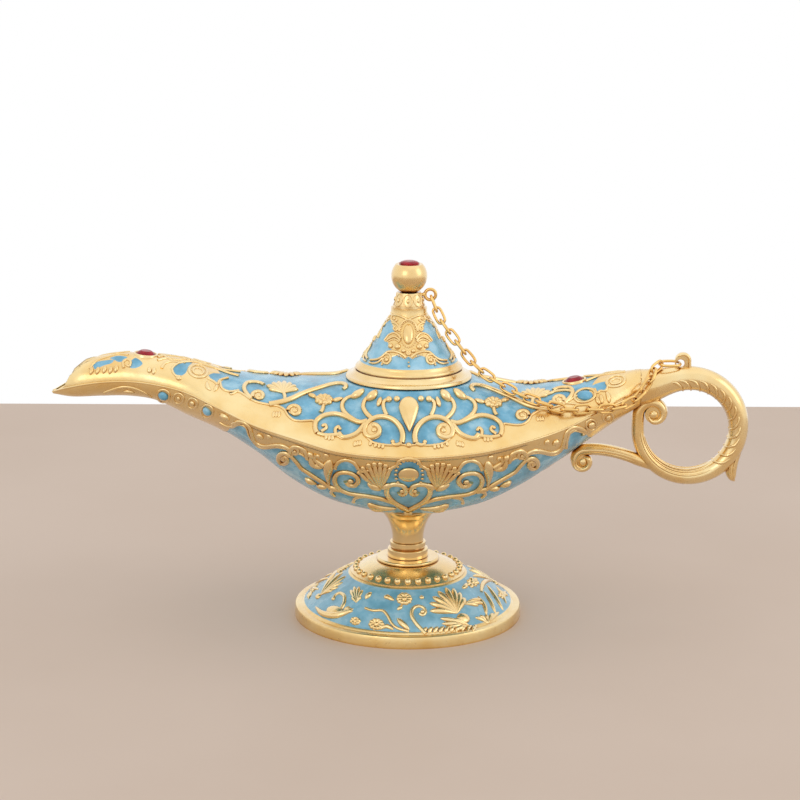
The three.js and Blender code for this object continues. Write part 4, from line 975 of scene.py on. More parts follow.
hull_medal = Ornament(hull_tree, body_copies(hull_spot, -1, (0,)), BELLY_VIEW)
hull_medal.boss(HULL_OVAL, *HULL_OVAL_SIZE, segments=24)
hull_medal.finish("hull_medallion", polished_gilt)
hull_sides = body_copies(hull_spot, -1, (1,))
hull_beads = Ornament(hull_tree, hull_sides, BELLY_VIEW)
hull_beads.beads(HULL_OVAL, *HULL_OVAL_BEADS)
hull_beads.finish("hull_medallion_beads", gilt)

SPOUT_VIEW = (50, 340, 8.25)
SPOUT_STUDS = {"first stud": ((935, 470), 1.6), "second stud": ((1295, 595), 1.5)}
SPOUT_DOMES = {"small dome": ((1060, 490), 0.75), "large dome": ((1175, 530), 0.95)}
SPOUT_ARCH = ((450, 445), (520, 420), (600, 398), (680, 405), (760, 435), (840, 480))
SPOUT_POD = ((600, 436), (650, 436), (700, 446))
SPOUT_LEAF = ((1395, 625), (1440, 640), (1480, 668))
SPOUT_HOOK = ((1400, 690), (1450, 716), (1500, 722), (1540, 700), (1568, 680))
SPOUT_STUD_RISE = 0.7
SPOUT_STUD_RING = (50, 52, 0.45)
SPOUT_DOME_RING = (42, 42, 0.4)
spout_under = Ornament(hull_tree, hull_sides, SPOUT_VIEW)
spout_studs = Ornament(hull_tree, hull_sides, SPOUT_VIEW)
spout_under.wire(SPOUT_ARCH, 0.6, 0.4)
spout_under.leaf(SPOUT_POD, 0.7)
spout_under.leaf(SPOUT_LEAF, 1.2)
spout_under.wire(SPOUT_HOOK, 0.5, 0.7)
for centre, size in SPOUT_STUDS.values():
    spout_studs.boss(centre, size, size, size * SPOUT_STUD_RISE, segments=16)
    spout_under.ring(centre, *SPOUT_STUD_RING)
for centre, size in SPOUT_DOMES.values():
    spout_under.boss(centre, size)
    spout_under.ring(centre, *SPOUT_DOME_RING)
spout_under.finish("spout_under_scrolls", gilt)
spout_studs.finish("spout_studs", hull_enamel, enamelled=True)

TAIL_VIEW = (540, 345, 9.8)
TAIL_CURL = ((250, 1000), (262, 900), (310, 830), (380, 806), (430, 822), (438, 860), (408, 870))
TAIL_DOMES = {"large dome": ((500, 775), 1.3), "small dome": ((665, 700), 1.0)}
TAIL_DOME_RING = (52, 52, 0.4)
tail_under = Ornament(hull_tree, hull_sides, TAIL_VIEW)
tail_under.wire(TAIL_CURL, 0.7, 0.5)
for centre, size in TAIL_DOMES.values():
    tail_under.boss(centre, size)
    tail_under.ring(centre, *TAIL_DOME_RING)
tail_under.finish("tail_under_scrolls", gilt)

# Upper shell
# The deck, a second cast brass shell soldered on the hull's rim, cut on a slant at the spout's
# mouth and open at the neck. A broad gilt brim runs round it, with enamel inside the brim.
MOUTH_LINE = ((-104.2, 38.3), (-101.7, 43), (-97.8, 46.3), (-93.5, 48))
NECK_OPENING = 16.5
PIXEL_MM = 0.3
SPOUT_FIELD_END = -48
TAIL_FIELD_START = 36
DECK_BRIM_EDGE = (
    (-20, 452), (0, 450), (40, 430), (80, 445), (140, 485), (190, 512), (260, 530), (330, 540),
    (380, 550), (430, 580), (455, 625), (500, 662), (560, 672), (630, 668), (668, 672), (684, 730),
    (700, 768), (740, 785), (800, 792), (860, 792), (900, 815), (960, 810), (1020, 785), (1070, 750),
    (1105, 800), (1140, 835), (1170, 850), (1230, 862), (1300, 868), (1390, 862), (1452, 872))
SPOUT_PATCHES = {
    "lip": ((356, 222), (392, 190), (450, 178), (522, 172), (510, 200), (455, 216), (405, 238), (376, 254)),
    "ridge": ((492, 158), (560, 138), (640, 148), (612, 178), (572, 190), (528, 170)),
    "bud": ((676, 176), (712, 154), (766, 196), (742, 226), (694, 242), (660, 232)),
    "teardrop": (
        (1014, 246), (1060, 206), (1130, 190), (1182, 190), (1146, 222), (1122, 276), (1078, 302),
        (1034, 292)),
    "wave": ((1310, 296), (1352, 278), (1430, 288), (1472, 314), (1404, 330), (1380, 360), (1342, 336)),
    "petal": ((1410, 356), (1452, 322), (1560, 322), (1580, 372), (1560, 412), (1480, 422), (1428, 402)),
    "crest": ((1424, 252), (1500, 256), (1580, 280), (1560, 300), (1480, 284)),
}
TAIL_PATCHES = {
    "under the stone": ((62, 430), (120, 400), (200, 386), (246, 404), (200, 436), (112, 442)),
    "leaf": ((86, 532), (140, 490), (220, 476), (290, 500), (272, 542), (236, 546), (170, 526)),
    "shaft": (
        (478, 404), (560, 366), (650, 348), (656, 400), (636, 432), (584, 430), (560, 452), (540, 414)),
}


def picture_place(spot):
    line = spot - CAMERA_PLACE
    depth = line.dot(SIGHT)
    half = PICTURE_SIZE / 2
    fall = -line.dot(SIGHT_UP) / depth * FOCAL_PX
    return half + line.x / depth * FOCAL_PX - fall * PICTURE_LEAN, half + fall


def outline_depth(outline, x, y):
    nearest = math.inf
    inside = False
    for (ax, ay), (bx, by) in zip(outline, outline[1:] + outline[:1]):
        wide, tall = bx - ax, by - ay
        t = min(1, max(0, ((x - ax) * wide + (y - ay) * tall) / (wide * wide + tall * tall + 0.001)))
        nearest = min(nearest, math.hypot(x - ax - t * wide, y - ay - t * tall))
        if (ay > y) != (by > y) and x < ax + (y - ay) / tall * wide:
            inside = not inside
    return nearest if inside else -nearest


def patch_depth(patches, view, spot):
    left, top, scale = view
    px, py = picture_place(spot)
    x, y = (px - left) * scale, (py - top) * scale
    return max(outline_depth(outline, x, y) for outline in patches) * PIXEL_MM / scale


def deck_field(spot):
    half, rim, ridge, keel, bell = body_at(spot.x - AXIS_X)
    depth = enamel_depth(deck_edge, spot, ridge - rim)
    front = Vector((spot.x, -abs(spot.y), spot.z))
    if spot.x - AXIS_X < SPOUT_FIELD_END:
        depth = max(depth, patch_depth(spout_outlines, SPOUT_VIEW, front))
    if spot.x - AXIS_X > TAIL_FIELD_START:
        depth = max(depth, patch_depth(tail_outlines, TAIL_VIEW, front))
    return depth


def cut_away(bm, place, outward):
    return bmesh.ops.bisect_plane(
        bm, geom=bm.verts[:] + bm.edges[:] + bm.faces[:], dist=0.001,
        plane_co=place, plane_no=outward, clear_outer=True)


def closed_outlines(patches):
    return [flowing(points + points[:1], 3)[:-1] for points in patches.values()]


spout_outlines = closed_outlines(SPOUT_PATCHES)
tail_outlines = closed_outlines(TAIL_PATCHES)
deck_bm = body_grid(deck_spot)
deck_bm.normal_update()
deck_tree = BVHTree.FromBMesh(deck_bm)
deck_edge = edge_line(deck_tree, BELLY_VIEW, DECK_BRIM_EDGE)
enamel_sunk(deck_bm, deck_field)
for (low_x, low_z), (high_x, high_z) in zip(MOUTH_LINE, MOUTH_LINE[1:]):
    cut_away(deck_bm, (AXIS_X + low_x, 0, HULL_Z + low_z), (low_z - high_z, 0, high_x - low_x))
inside = [
    face for face in deck_bm.faces
    if math.hypot(face.calc_center_median().x - AXIS_X, face.calc_center_median().y) < NECK_OPENING]
bmesh.ops.delete(deck_bm, geom=inside, context="FACES")
deck_enamel = enamelled_material("deck_enamel", BODY_DEEP, BODY_MID, BODY_PALE)
shelled(placed(
    deck_bm, "deck_shell", [deck_enamel, gilt], nodes=["upper_shell"], sharp=70))

# Scrolls on the deck
# Raised gilt scrolls with volutes, buds, flowers and a pointed oval in the middle of each side.
# The spout and the tail have strands, rings and petals of their own.
DECK_STRANDS = {
    "brim volute": (
        0.8, 0.65, ((1392, 848), (1402, 790), (1390, 735), (1352, 680), (1300, 645), (1240, 632),
                    (1180, 640), (1120, 675), (1088, 730), (1098, 782), (1145, 802), (1198, 778),
                    (1210, 732), (1182, 702), (1148, 708))),
    "brim hook": (0.6, 0.5, ((1392, 848), (1350, 866), (1312, 852))),
    "wave": (
        0.7, 0.75, ((696, 770), (680, 725), (690, 670), (740, 630), (810, 612), (875, 614), (940, 636),
                    (1000, 664), (1055, 680), (1110, 668))),
    "first bud's stem": (
        0.75, 0.5, ((1010, 668), (945, 622), (908, 570), (908, 520), (940, 482), (990, 462))),
    "second bud's stem": (0.7, 0.5, ((1150, 650), (1102, 602), (1078, 552), (1088, 505), (1112, 475))),
    "third bud's stem": (0.6, 0.5, ((1272, 622), (1248, 565), (1246, 515), (1268, 490))),
    "wave's foot": (0.6, 0.6, ((700, 772), (760, 788), (830, 786), (880, 780))),
    "wave's return": (
        0.7, 0.7, ((876, 770), (905, 802), (960, 797), (1022, 768), (1066, 722), (1092, 688))),
    "flower's stem": (0.5, 0.6, ((752, 540), (742, 575), (725, 600))),
    "long scroll": (
        0.9, 0.55, ((300, 536), (400, 516), (480, 490), (560, 452), (640, 421), (720, 395), (800, 371),
                    (870, 358), (925, 364), (938, 388), (912, 408))),
    "palm's stem": (0.5, 0.5, ((424, 440), (432, 470), (430, 498))),
    "sprig": (0.5, 0.4, ((727, 758), (770, 729), (765, 701), (742, 705))),
    "wave's thorn": (0.55, 0.4, ((851, 786), (846, 739), (870, 715), (884, 734))),
    "end scroll": (
        0.65, 0.5, ((158, 492), (112, 440), (96, 396), (116, 360), (162, 350), (222, 355), (262, 372))),
}
DECK_LEAVES = {
    "first bud": (1.15, 1.0, ((975, 478), (1030, 450), (1085, 405))),
    "second bud": (1.2, 1.0, ((1105, 500), (1150, 462), (1190, 415))),
    "small leaf": (0.6, 1.0, ((1225, 470), (1212, 510), (1198, 548))),
    "flower's right leaf": (0.6, 1.0, ((825, 500), (865, 495), (912, 478))),
    "flower's left leaf": (0.6, 1.0, ((690, 478), (660, 462), (625, 452))),
}
DECK_BEADS = {
    "volute's bead": ((1165, 745), 0.95), "hook's bead": ((1318, 838), 0.7),
    "third bud": ((1290, 488), 1.05), "berry": ((1356, 486), 1.0),
    "sprig's berry": ((746, 708), 0.6), "thorn's berry": ((884, 734), 0.55),
}
DECK_GROUNDS = {
    "under the brim volute": ((1160, 750), 2.6, 2.9),
    "under the middle volute": ((512, 588), 1.9, 1.7),
    "under the end volute": ((215, 465), 1.8, 1.6),
}
BRIM_TEETH = {
    "at the end": ((339, 616), (361, 616), (383, 616)),
    "under the wave": ((770, 800), (796, 806), (822, 806)),
    "at the return": ((1005, 857), (1026, 853), (1047, 849)),
    "under the volute": ((1134, 852), (1176, 866), (1206, 872), (1236, 876)),
}
BRIM_TOOTH_TOP = (6, -26)
BRIM_TOOTH_FOOT = (-4, 26)
BRIM_EDGE_SIZE = 0.34
DECK_FLOWER = ((755, 495), 80, 9, 0.75, 0.55)
DECK_VOLUTES = {
    "in the middle": ((512, 588), 58, 0.65, 180, 1.3, 0.85, 0.95, -1),
    "at the end": ((215, 465), 55, 0.65, 200, 1.2, 0.8, 0.95, -1),
}
DECK_PALM_BASE = (420, 440)
DECK_PALM_TIPS = (
    (282, 378), (300, 408), (330, 356), (378, 348), (430, 345), (482, 356), (525, 380), (545, 408))
DECK_OVAL = (1452, 560)
DECK_OVAL_SIZE = (3, 3.8, 1.2)
DECK_OVAL_TIP = 2.1
DECK_OVAL_DROP = ((1452, 866), 0.9, 0.9, 0.7)
deck_work = Ornament(deck_tree, body_copies(deck_spot, 1), BELLY_VIEW, STRAND_BOLD)
deck_work.wire(DECK_BRIM_EDGE, BRIM_EDGE_SIZE, steps=3)
deck_work.strands(DECK_STRANDS)
deck_work.leaves(DECK_LEAVES)
deck_work.studs(DECK_BEADS)
deck_work.flower(*DECK_FLOWER)
deck_work.fan(DECK_PALM_BASE, DECK_PALM_TIPS, 0.7, 1.6, 6)
deck_work.volutes(DECK_VOLUTES)
deck_work.grounds(DECK_GROUNDS)
for group in BRIM_TEETH.values():
    for tooth in group:
        deck_work.leaf((moved(tooth, BRIM_TOOTH_TOP), tooth, moved(tooth, BRIM_TOOTH_FOOT)), 0.4, 1.2)
deck_work.finish("deck_scrolls", gilt)
deck_medal = Ornament(deck_tree, body_copies(deck_spot, 1, (0,)), BELLY_VIEW)
deck_medal.boss(DECK_OVAL, *DECK_OVAL_SIZE, segments=28, tip=DECK_OVAL_TIP)
deck_medal.boss(*DECK_OVAL_DROP)
deck_medal.finish("deck_medallion", gilt)

SPOUT_STRANDS = {
    "lip's edge": (0.4, 0.4, ((330, 250), (360, 205), (410, 172), (480, 150), (560, 128), (650, 132))),
    "curl": (0.5, 0.4, ((612, 240), (604, 196), (636, 168), (668, 188), (656, 226), (632, 214))),
    "first petal": (0.55, 0.3, ((892, 150), (980, 136), (1080, 150), (1160, 180))),
    "second petal": (0.55, 0.3, ((892, 176), (970, 158), (1060, 172), (1120, 196))),
    "third petal": (0.55, 0.3, ((924, 244), (946, 206), (1000, 186), (1070, 190))),
    "teardrop's edge": (
        0.4, 0.4, ((1182, 186), (1120, 186), (1056, 202), (1010, 246), (1034, 298), (1080, 308))),
    "ridge strand": (0.5, 0.5, ((1160, 180), (1260, 200), (1360, 236), (1460, 272), (1560, 300))),
    "wave's edge": (0.45, 0.45, ((1300, 320), (1346, 344), (1384, 368), (1404, 336), (1470, 316))),
    "petal's edge": (0.45, 0.45, ((1404, 350), (1420, 404), (1480, 430), (1560, 420))),
}
SPOUT_TEETH = ((345, 268), (396, 266), (452, 258), (502, 262), (548, 250))
SPOUT_TOOTH_TOP = (6, -34)
SPOUT_TOOTH_FOOT = (-12, 32)
SPOUT_LOBES = {
    "under the stone": ((862, 232), (860, 262), (852, 296)),
    "beside it": ((820, 232), (822, 258), (820, 284)),
    "under the ring": ((1296, 348), (1300, 392), (1330, 424)),
    "next lobe": ((1380, 372), (1372, 404), (1350, 430)),
    "under the teardrop": ((1040, 306), (1064, 326), (1090, 318)),
}
SPOUT_RINGS = {
    "outer ring": ((1225, 265), 76, 50, 0.5, 0.2),
    "inner ring": ((1225, 265), 44, 26, 0.4, 0.2),
}
deck_sides = body_copies(deck_spot, 1, (1,))
spout_work = Ornament(deck_tree, deck_sides, SPOUT_VIEW)
spout_work.strands(SPOUT_STRANDS)
for tooth in SPOUT_TEETH:
    spout_work.leaf((moved(tooth, SPOUT_TOOTH_TOP), tooth, moved(tooth, SPOUT_TOOTH_FOOT)), 0.62, 0.8)
for points in SPOUT_LOBES.values():
    spout_work.leaf(points, 0.6)
spout_work.rings(SPOUT_RINGS)
spout_work.finish("spout_scrolls", gilt)

TAIL_STRANDS = {
    "stone's strand": (0.5, 0.35, ((450, 344), (560, 300), (700, 268), (838, 246))),
    "leaf's scroll": (
        0.55, 0.45, ((0, 486), (90, 470), (150, 446), (260, 434), (312, 454), (304, 500), (270, 520))),
    "lower scroll": (0.5, 0.4, ((90, 552), (170, 540), (240, 560), (300, 566), (420, 582))),
    "shaft's edge": (0.4, 0.4, ((540, 420), (560, 462), (590, 440), (640, 440), (664, 400), (660, 346))),
}
TAIL_LOBES = {
    "first lobe": ((596, 474), (602, 520), (612, 578)),
    "second lobe": ((650, 446), (672, 500), (676, 566)),
    "third lobe": ((556, 500), (566, 540), (590, 586)),
}
TAIL_STUD = (440, 486)
TAIL_STUD_SIZE = (2.4, 1.9, 0.9)
TAIL_RINGS = {
    "outer ring": ((745, 345), 92, 52, 0.5, -0.25),
    "inner ring": ((745, 345), 52, 26, 0.4, -0.25),
    "stud's ring": (TAIL_STUD, 104, 64, 0.5, -0.25),
}
tail_work = Ornament(deck_tree, deck_sides, TAIL_VIEW)
tail_stud = Ornament(deck_tree, deck_sides, TAIL_VIEW)
tail_work.strands(TAIL_STRANDS)
for points in TAIL_LOBES.values():
    tail_work.leaf(points, 0.7)
tail_work.rings(TAIL_RINGS)
tail_stud.boss(TAIL_STUD, *TAIL_STUD_SIZE, segments=20)
tail_work.finish("tail_scrolls", gilt)
tail_stud.finish("tail_studs", deck_enamel, enamelled=True)

# Seam
# The solder line between the two shells is covered by a thin gilt wire all round the rim.
SEAM_WIRE = 0.32
SEAM_STEPS = 200
seam_lines = curve_lines("seam", 2, SEAM_WIRE, caps=False)
seam_places = [between(SPOUT_TIP, TAIL_END, i / SEAM_STEPS) for i in range(SEAM_STEPS + 1)]
for side in (-1, 1):
    add_line(seam_lines, [hull_spot(x, side) for x in seam_places], [1] * len(seam_places))
seam_bm = bmesh.new()
add_tubes(seam_bm, seam_lines)
placed(seam_bm, "seam_wire", [polished_gilt])

# Neck collar
# A turned brass ring with a sloping face, soldered in the deck's neck. The lid's edge sits on it.
NECK_BORE = 14.2
COLLAR_TOP_RADIUS = 16.5
COLLAR_EDGE = 0.5
COLLAR_HEIGHT = 2.6
COLLAR_SPIGOT = 3
COLLAR_WALL = 1.5
COLLAR_ROUND = (-0.3, 0.5)
COLLAR_HOLLOW = (17.1, 1.2)
collar_bm = turned([
    (NECK_BORE, -COLLAR_SPIGOT), (NECK_BORE + COLLAR_WALL, -COLLAR_SPIGOT), (NECK_BORE + COLLAR_WALL, 0),
    (COLLAR_RADIUS, 0), (COLLAR_RADIUS, COLLAR_EDGE),
    *bent(moved((COLLAR_RADIUS, COLLAR_EDGE), COLLAR_ROUND), COLLAR_HOLLOW,
          (COLLAR_TOP_RADIUS, COLLAR_HEIGHT), 8),
    (NECK_BORE, COLLAR_HEIGHT)], HULL_Z + NECK_HEIGHT, 128)
placed(collar_bm, "collar_turned", [gilt], nodes=["neck_collar"], edge=0.15)

# Red stones
# Cut glass stones set in gilt bezels on the spout, the tail and the finial's ball.
GEM_RADIUS = 3
GEM_HEIGHT = 1.6
GEM_SINK = 1.1
GEM_SIDES = 12
GEM_RISE = 0.5
GEM_GIRDLE = 0.4
GEM_CROWN = ((0.38, 0.8), (0.22, 0.55))
GEM_SLOPE_REACH = 2
BEZEL_GAP = 0.05
BEZEL_WALL = 0.9
BEZEL_LIP = 0.6
BEZEL_LOW = -0.6
BEZEL_SHOULDER = 0.6
BEZEL_TOP = 1.3
SPOUT_GEM_X = -79.4
TAIL_GEM_X = 50.2
RUBY_NOISE = (500, 2)
RUBY_DARK = (0.28, 0.003, 0.01)
RUBY_PALE = (0.5, 0.01, 0.025)
ruby, ruby_shader = mottled_material("red_glass", RUBY_NOISE, RUBY_DARK, RUBY_PALE)
set_inputs(ruby_shader, {"Roughness": 0.08, "IOR": 1.4})


def cut_stone(base, radius, height):
    bm = bmesh.new()
    bmesh.ops.create_cone(
        bm, cap_ends=True, segments=GEM_SIDES, radius1=radius, radius2=radius, depth=height * GEM_GIRDLE)
    top = [face for face in bm.faces if face.normal.z > 0.9]
    for level, reach in GEM_CROWN:
        made = bmesh.ops.extrude_face_region(bm, geom=top)["geom"]
        bmesh.ops.delete(bm, geom=top, context="FACES")
        crown = [item for item in made if isinstance(item, bmesh.types.BMVert)]
        middle = sum((vert.co for vert in crown), Vector()) / len(crown)
        bmesh.ops.translate(bm, verts=crown, vec=(0, 0, height * level))
        for vert in crown:
            vert.co.xy = middle.xy + (vert.co.xy - middle.xy).normalized() * radius * reach
        twist = Matrix.Rotation(math.pi / GEM_SIDES, 3, "Z")
        bmesh.ops.rotate(bm, verts=crown, cent=middle, matrix=twist)
        top = [item for item in made if isinstance(item, bmesh.types.BMFace)]
    facets = [face for face in bm.faces if len(face.verts) == 4 and abs(face.normal.z) < 0.99]
    bmesh.ops.triangulate(bm, faces=facets)
    bmesh.ops.translate(bm, verts=bm.verts, vec=base + Vector((0, 0, height * GEM_GIRDLE / 2)))
    return bm


bezel_outline = (
    (GEM_RADIUS + BEZEL_GAP, BEZEL_LOW), (GEM_RADIUS + BEZEL_WALL, BEZEL_LOW),
    (GEM_RADIUS + BEZEL_WALL, BEZEL_SHOULDER), (GEM_RADIUS + BEZEL_LIP, BEZEL_TOP),
    (GEM_RADIUS + BEZEL_GAP, BEZEL_TOP))
for name, node, x in (("spout_stone", "spout_gem", SPOUT_GEM_X), ("tail_stone", "tail_gem", TAIL_GEM_X)):
    seat = deck_spot(x, 0) - Vector((0, 0, GEM_SINK))
    slope = deck_spot(x + GEM_SLOPE_REACH, 0) - deck_spot(x - GEM_SLOPE_REACH, 0)
    lean = Matrix.Rotation(-math.atan2(slope.z, slope.x), 4, "Y")
    lean = Matrix.Translation(seat) @ lean @ Matrix.Translation(-seat)
    stone_bm = cut_stone(seat, GEM_RADIUS, GEM_HEIGHT + GEM_RISE)
    bmesh.ops.transform(stone_bm, matrix=lean, verts=stone_bm.verts)
    placed(stone_bm, name, [ruby], nodes=[node], sharp=5)
    bezel_bm = turned(bezel_outline, seat.z, 48)
    bmesh.ops.translate(bezel_bm, verts=bezel_bm.verts, vec=(x, 0, 0))
    bmesh.ops.transform(bezel_bm, matrix=lean, verts=bezel_bm.verts)
    placed(bezel_bm, name + "_bezel", [gilt], edge=0.2)

# Handle
# One brass casting: a shaft from the tail, a loop with an inner curl, a strut that bears on the
# hull with its own curl, a leaf spur on the loop and an ear with a rolled edge for the chain.
TAIL_Z = HULL_Z + 39.05
SHAFT_THICK = 11.1
SHAFT_DEPTH = 10.4
SHAFT_START = -1.5
LOOP_RADIUS = 15.3
LOOP_CENTRE = Vector((14.9, -12.45))
LOOP_TOP_THICK = 7.4
LOOP_SIDE_THICK = 6
LOOP_LOW_THICK = 5
LOOP_END_THICK = 3.8
LOOP_DEPTH = 6.4
LOOP_END_DEPTH = 4.4
CURL_CENTRE = Vector((4.2, -8.35))
CURL_END_RADIUS = 2.1
CURL_END_THICK = 2.2
CURL_BALL = 1.8
CURL_WEB = 2.4
CURL_WEB_RADIUS = 2.6
CURL_STEPS = 36
CURL_TIP_STEPS = 8
CURL_TIP_SHRINK = 0.4
CURL_TIP_THICK = 0.4
CURL_TIP_DEPTH = 1.2
BAR_STEPS = 24
STRUT_START = Vector((7.5, -27.2))
STRUT_MIDDLE = Vector((-5.5, -20))
STRUT_THICK = 3.8
STRUT_END_THICK = 3.6
STRUT_DEPTH = 4.2
STRUT_CURL = Vector((-16.9, -23.25))
STRUT_CURL_RADIUS = 3.7
STRUT_CURL_MID_RADIUS = 2.5
STRUT_CURL_END_RADIUS = 1.9
STRUT_CURL_THICK = 2.2
STRUT_CURL_STEPS = 40
STRUT_LEAD = 3.8
STRUT_SAG = 1.9
STRUT_CREST = 0.95
STRUT_BALL = 1.8
STRUT_WEB_RADIUS = 2.2
SPUR_LINE = (
    (30.4, -14.5, 2.4), (30, -19.4, 3), (28.9, -22.9, 3.5), (28.4, -25.5, 3.7), (28.8, -27.9, 2.6),
    (29.6, -29.2, 0.7))
SPUR_DEPTH = 3.6
EAR_CENTRE = Vector((12.7, 8.35))
EAR_RADIUS = 2.45
EAR_HOLE = Vector((11.9, 7.45))
EAR_HOLE_RADIUS = 1.25
EAR_ROOT = 5
EAR_THICK = 1.4
EAR_ROLL = 1.1
EAR_ROLL_DEPTH = 2.2
handle_place = Vector((AXIS_X + TAIL_END, 0, TAIL_Z))


def swept(path, name):
    lines = curve_lines(name, 6)
    add_line(lines, [(x, 0, z) for x, z, thick, depth in path], [row[2] / 2 for row in path])
    bm = bmesh.new()
    add_tubes(bm, lines)
    bm.verts.ensure_lookup_table()
    sides = len(bm.verts) // len(path)
    for vert in bm.verts:
        x, z, thick, depth = path[min(len(path) - 1, vert.index // sides)]
        vert.co.y *= depth / thick
    bmesh.ops.translate(bm, verts=bm.verts, vec=handle_place)
    return bm


def around(centre, radius, turn, thick, depth):
    return (*oval_point(centre, radius, radius, math.radians(turn)), thick, depth)


def curl_end(centre, radius, turn, sweep, thick, depth):
    points = []
    for k in range(CURL_TIP_STEPS):
        share = (k + 1) / CURL_TIP_STEPS
        points.append(around(
            centre, radius * (1 - CURL_TIP_SHRINK * share), turn + sweep * share,
            between(thick, CURL_TIP_THICK, share), between(depth, CURL_TIP_DEPTH, share)))
    return points


def cubic(a, b, c, d, t):
    return (1 - t) ** 3 * a + 3 * t * (1 - t) ** 2 * b + 3 * t * t * (1 - t) * c + t ** 3 * d


loop_top = Vector((LOOP_CENTRE.x, LOOP_CENTRE.y + LOOP_RADIUS))
handle_path = [(SHAFT_START, 0, SHAFT_THICK, SHAFT_DEPTH)]
for i in range(BAR_STEPS):
    t = i / BAR_STEPS
    ease = smoothstep(t, 0, 1)
    handle_path.append((
        cubic(0, loop_top.x / 4, loop_top.x * 0.55, loop_top.x, t),
        cubic(0, 0, loop_top.y, loop_top.y, t),
        between(SHAFT_THICK, LOOP_TOP_THICK, ease),
        between(SHAFT_DEPTH, LOOP_DEPTH, ease)))
loop_quarters = (
    (90, LOOP_TOP_THICK, LOOP_DEPTH), (0, LOOP_SIDE_THICK, LOOP_DEPTH),
    (-90, LOOP_LOW_THICK, LOOP_DEPTH), (-180, LOOP_END_THICK, LOOP_END_DEPTH))
for first, second in zip(loop_quarters, loop_quarters[1:]):
    for k in range(BAR_STEPS):
        turn, thick, depth = (between(a, b, k / BAR_STEPS) for a, b in zip(first, second))
        handle_path.append(around(LOOP_CENTRE, LOOP_RADIUS, turn, thick, depth))
curl_start = CURL_CENTRE.x - (LOOP_CENTRE.x - LOOP_RADIUS)
for k in range(CURL_STEPS + 1):
    share = k / CURL_STEPS
    handle_path.append(around(
        CURL_CENTRE, between(curl_start, CURL_END_RADIUS, share), 180 - 270 * share,
        between(LOOP_END_THICK, CURL_END_THICK, share), LOOP_END_DEPTH))
handle_path += curl_end(CURL_CENTRE, CURL_END_RADIUS, -90, -90, CURL_END_THICK, LOOP_END_DEPTH)
strut_path = []
for i in range(BAR_STEPS):
    t = i / BAR_STEPS
    strut_path.append((
        cubic(
            STRUT_START.x, between(STRUT_START.x, STRUT_MIDDLE.x, 0.5),
            STRUT_MIDDLE.x - STRUT_LEAD, STRUT_CURL.x, t),
        cubic(STRUT_START.y, STRUT_MIDDLE.y - STRUT_SAG,
              STRUT_CURL.y + STRUT_CURL_RADIUS + STRUT_CREST, STRUT_CURL.y + STRUT_CURL_RADIUS, t),
        between(1, between(STRUT_THICK, STRUT_END_THICK, t), smoothstep(t, 0, 0.35)),
        between(1, STRUT_DEPTH, smoothstep(t, 0, 0.3))))
for k in range(STRUT_CURL_STEPS + 1):
    turn = 90 + 300 * k / STRUT_CURL_STEPS
    early, late = min(1, (turn - 90) / 90), max(0, (turn - 180) / 210)
    radius = between(STRUT_CURL_RADIUS, STRUT_CURL_MID_RADIUS, early)
    strut_path.append(around(
        STRUT_CURL, between(radius, STRUT_CURL_END_RADIUS, late), turn,
        between(STRUT_END_THICK, STRUT_CURL_THICK, early), STRUT_DEPTH))
strut_path += curl_end(STRUT_CURL, STRUT_CURL_END_RADIUS, 390, 90, STRUT_CURL_THICK, STRUT_DEPTH)
spur_root = SPUR_LINE[0][2]
spur_path = [
    (x, z, thick, SPUR_DEPTH * min(1, thick / spur_root)) for x, z, thick in flowing(SPUR_LINE, 6)]
handle_bm = swept(handle_path, "handle_bar")
for path, name in ((strut_path, "handle_strut"), (spur_path, "handle_spur")):
    extra_bm = swept(path, name)
    joined = bpy.data.meshes.new(name)
    extra_bm.to_mesh(joined)
    handle_bm.from_mesh(joined)
    extra_bm.free()
    bpy.data.meshes.remove(joined)
for centre, radius, web in (
        (CURL_CENTRE, CURL_BALL, CURL_WEB_RADIUS), (STRUT_CURL, STRUT_BALL, STRUT_WEB_RADIUS)):
    spot = Matrix.Translation(handle_place + Vector((centre.x, 0, centre.y)))
    bmesh.ops.create_uvsphere(handle_bm, u_segments=24, v_segments=16, radius=radius, matrix=spot)
    bmesh.ops.create_cone(
        handle_bm, cap_ends=True, segments=32, radius1=web, radius2=web, depth=CURL_WEB,
        matrix=spot @ Matrix.Rotation(math.pi / 2, 4, "X"))
placed(handle_bm, "handle_casting", [gilt], nodes=["handle"], sharp=50)

ear_bm = bmesh.new()
ear_outline = [(EAR_CENTRE.x + EAR_RADIUS, EAR_HOLE.y - EAR_ROOT)]
for k in range(33):
    ear_outline.append(oval_point(EAR_CENTRE, EAR_RADIUS, EAR_RADIUS, math.pi * k / 32))
ear_outline.append((EAR_CENTRE.x - EAR_RADIUS, EAR_HOLE.y - EAR_ROOT))
hole_outline = [
    oval_point(EAR_HOLE, EAR_HOLE_RADIUS, EAR_HOLE_RADIUS, 2 * math.pi * k / 28) for k in range(28)]
ear_edges = []
for outline in (ear_outline, hole_outline):
    corners = [ear_bm.verts.new((x, -EAR_THICK / 2, z)) for x, z in outline]
    ear_edges += [ear_bm.edges.new(pair) for pair in zip(corners, corners[1:] + corners[:1])]
plate = bmesh.ops.triangle_fill(ear_bm, edges=ear_edges, use_beauty=True)["geom"]
plate = [item for item in plate if isinstance(item, bmesh.types.BMFace)]
far_side = bmesh.ops.extrude_face_region(ear_bm, geom=plate, use_keep_orig=True)["geom"]
far_side = [item for item in far_side if isinstance(item, bmesh.types.BMVert)]
bmesh.ops.translate(ear_bm, verts=far_side, vec=(0, EAR_THICK, 0))
bmesh.ops.recalc_face_normals(ear_bm, faces=ear_bm.faces)
bmesh.ops.translate(ear_bm, verts=ear_bm.verts, vec=handle_place)
placed(ear_bm, "handle_ear", [gilt], edge=0.2)
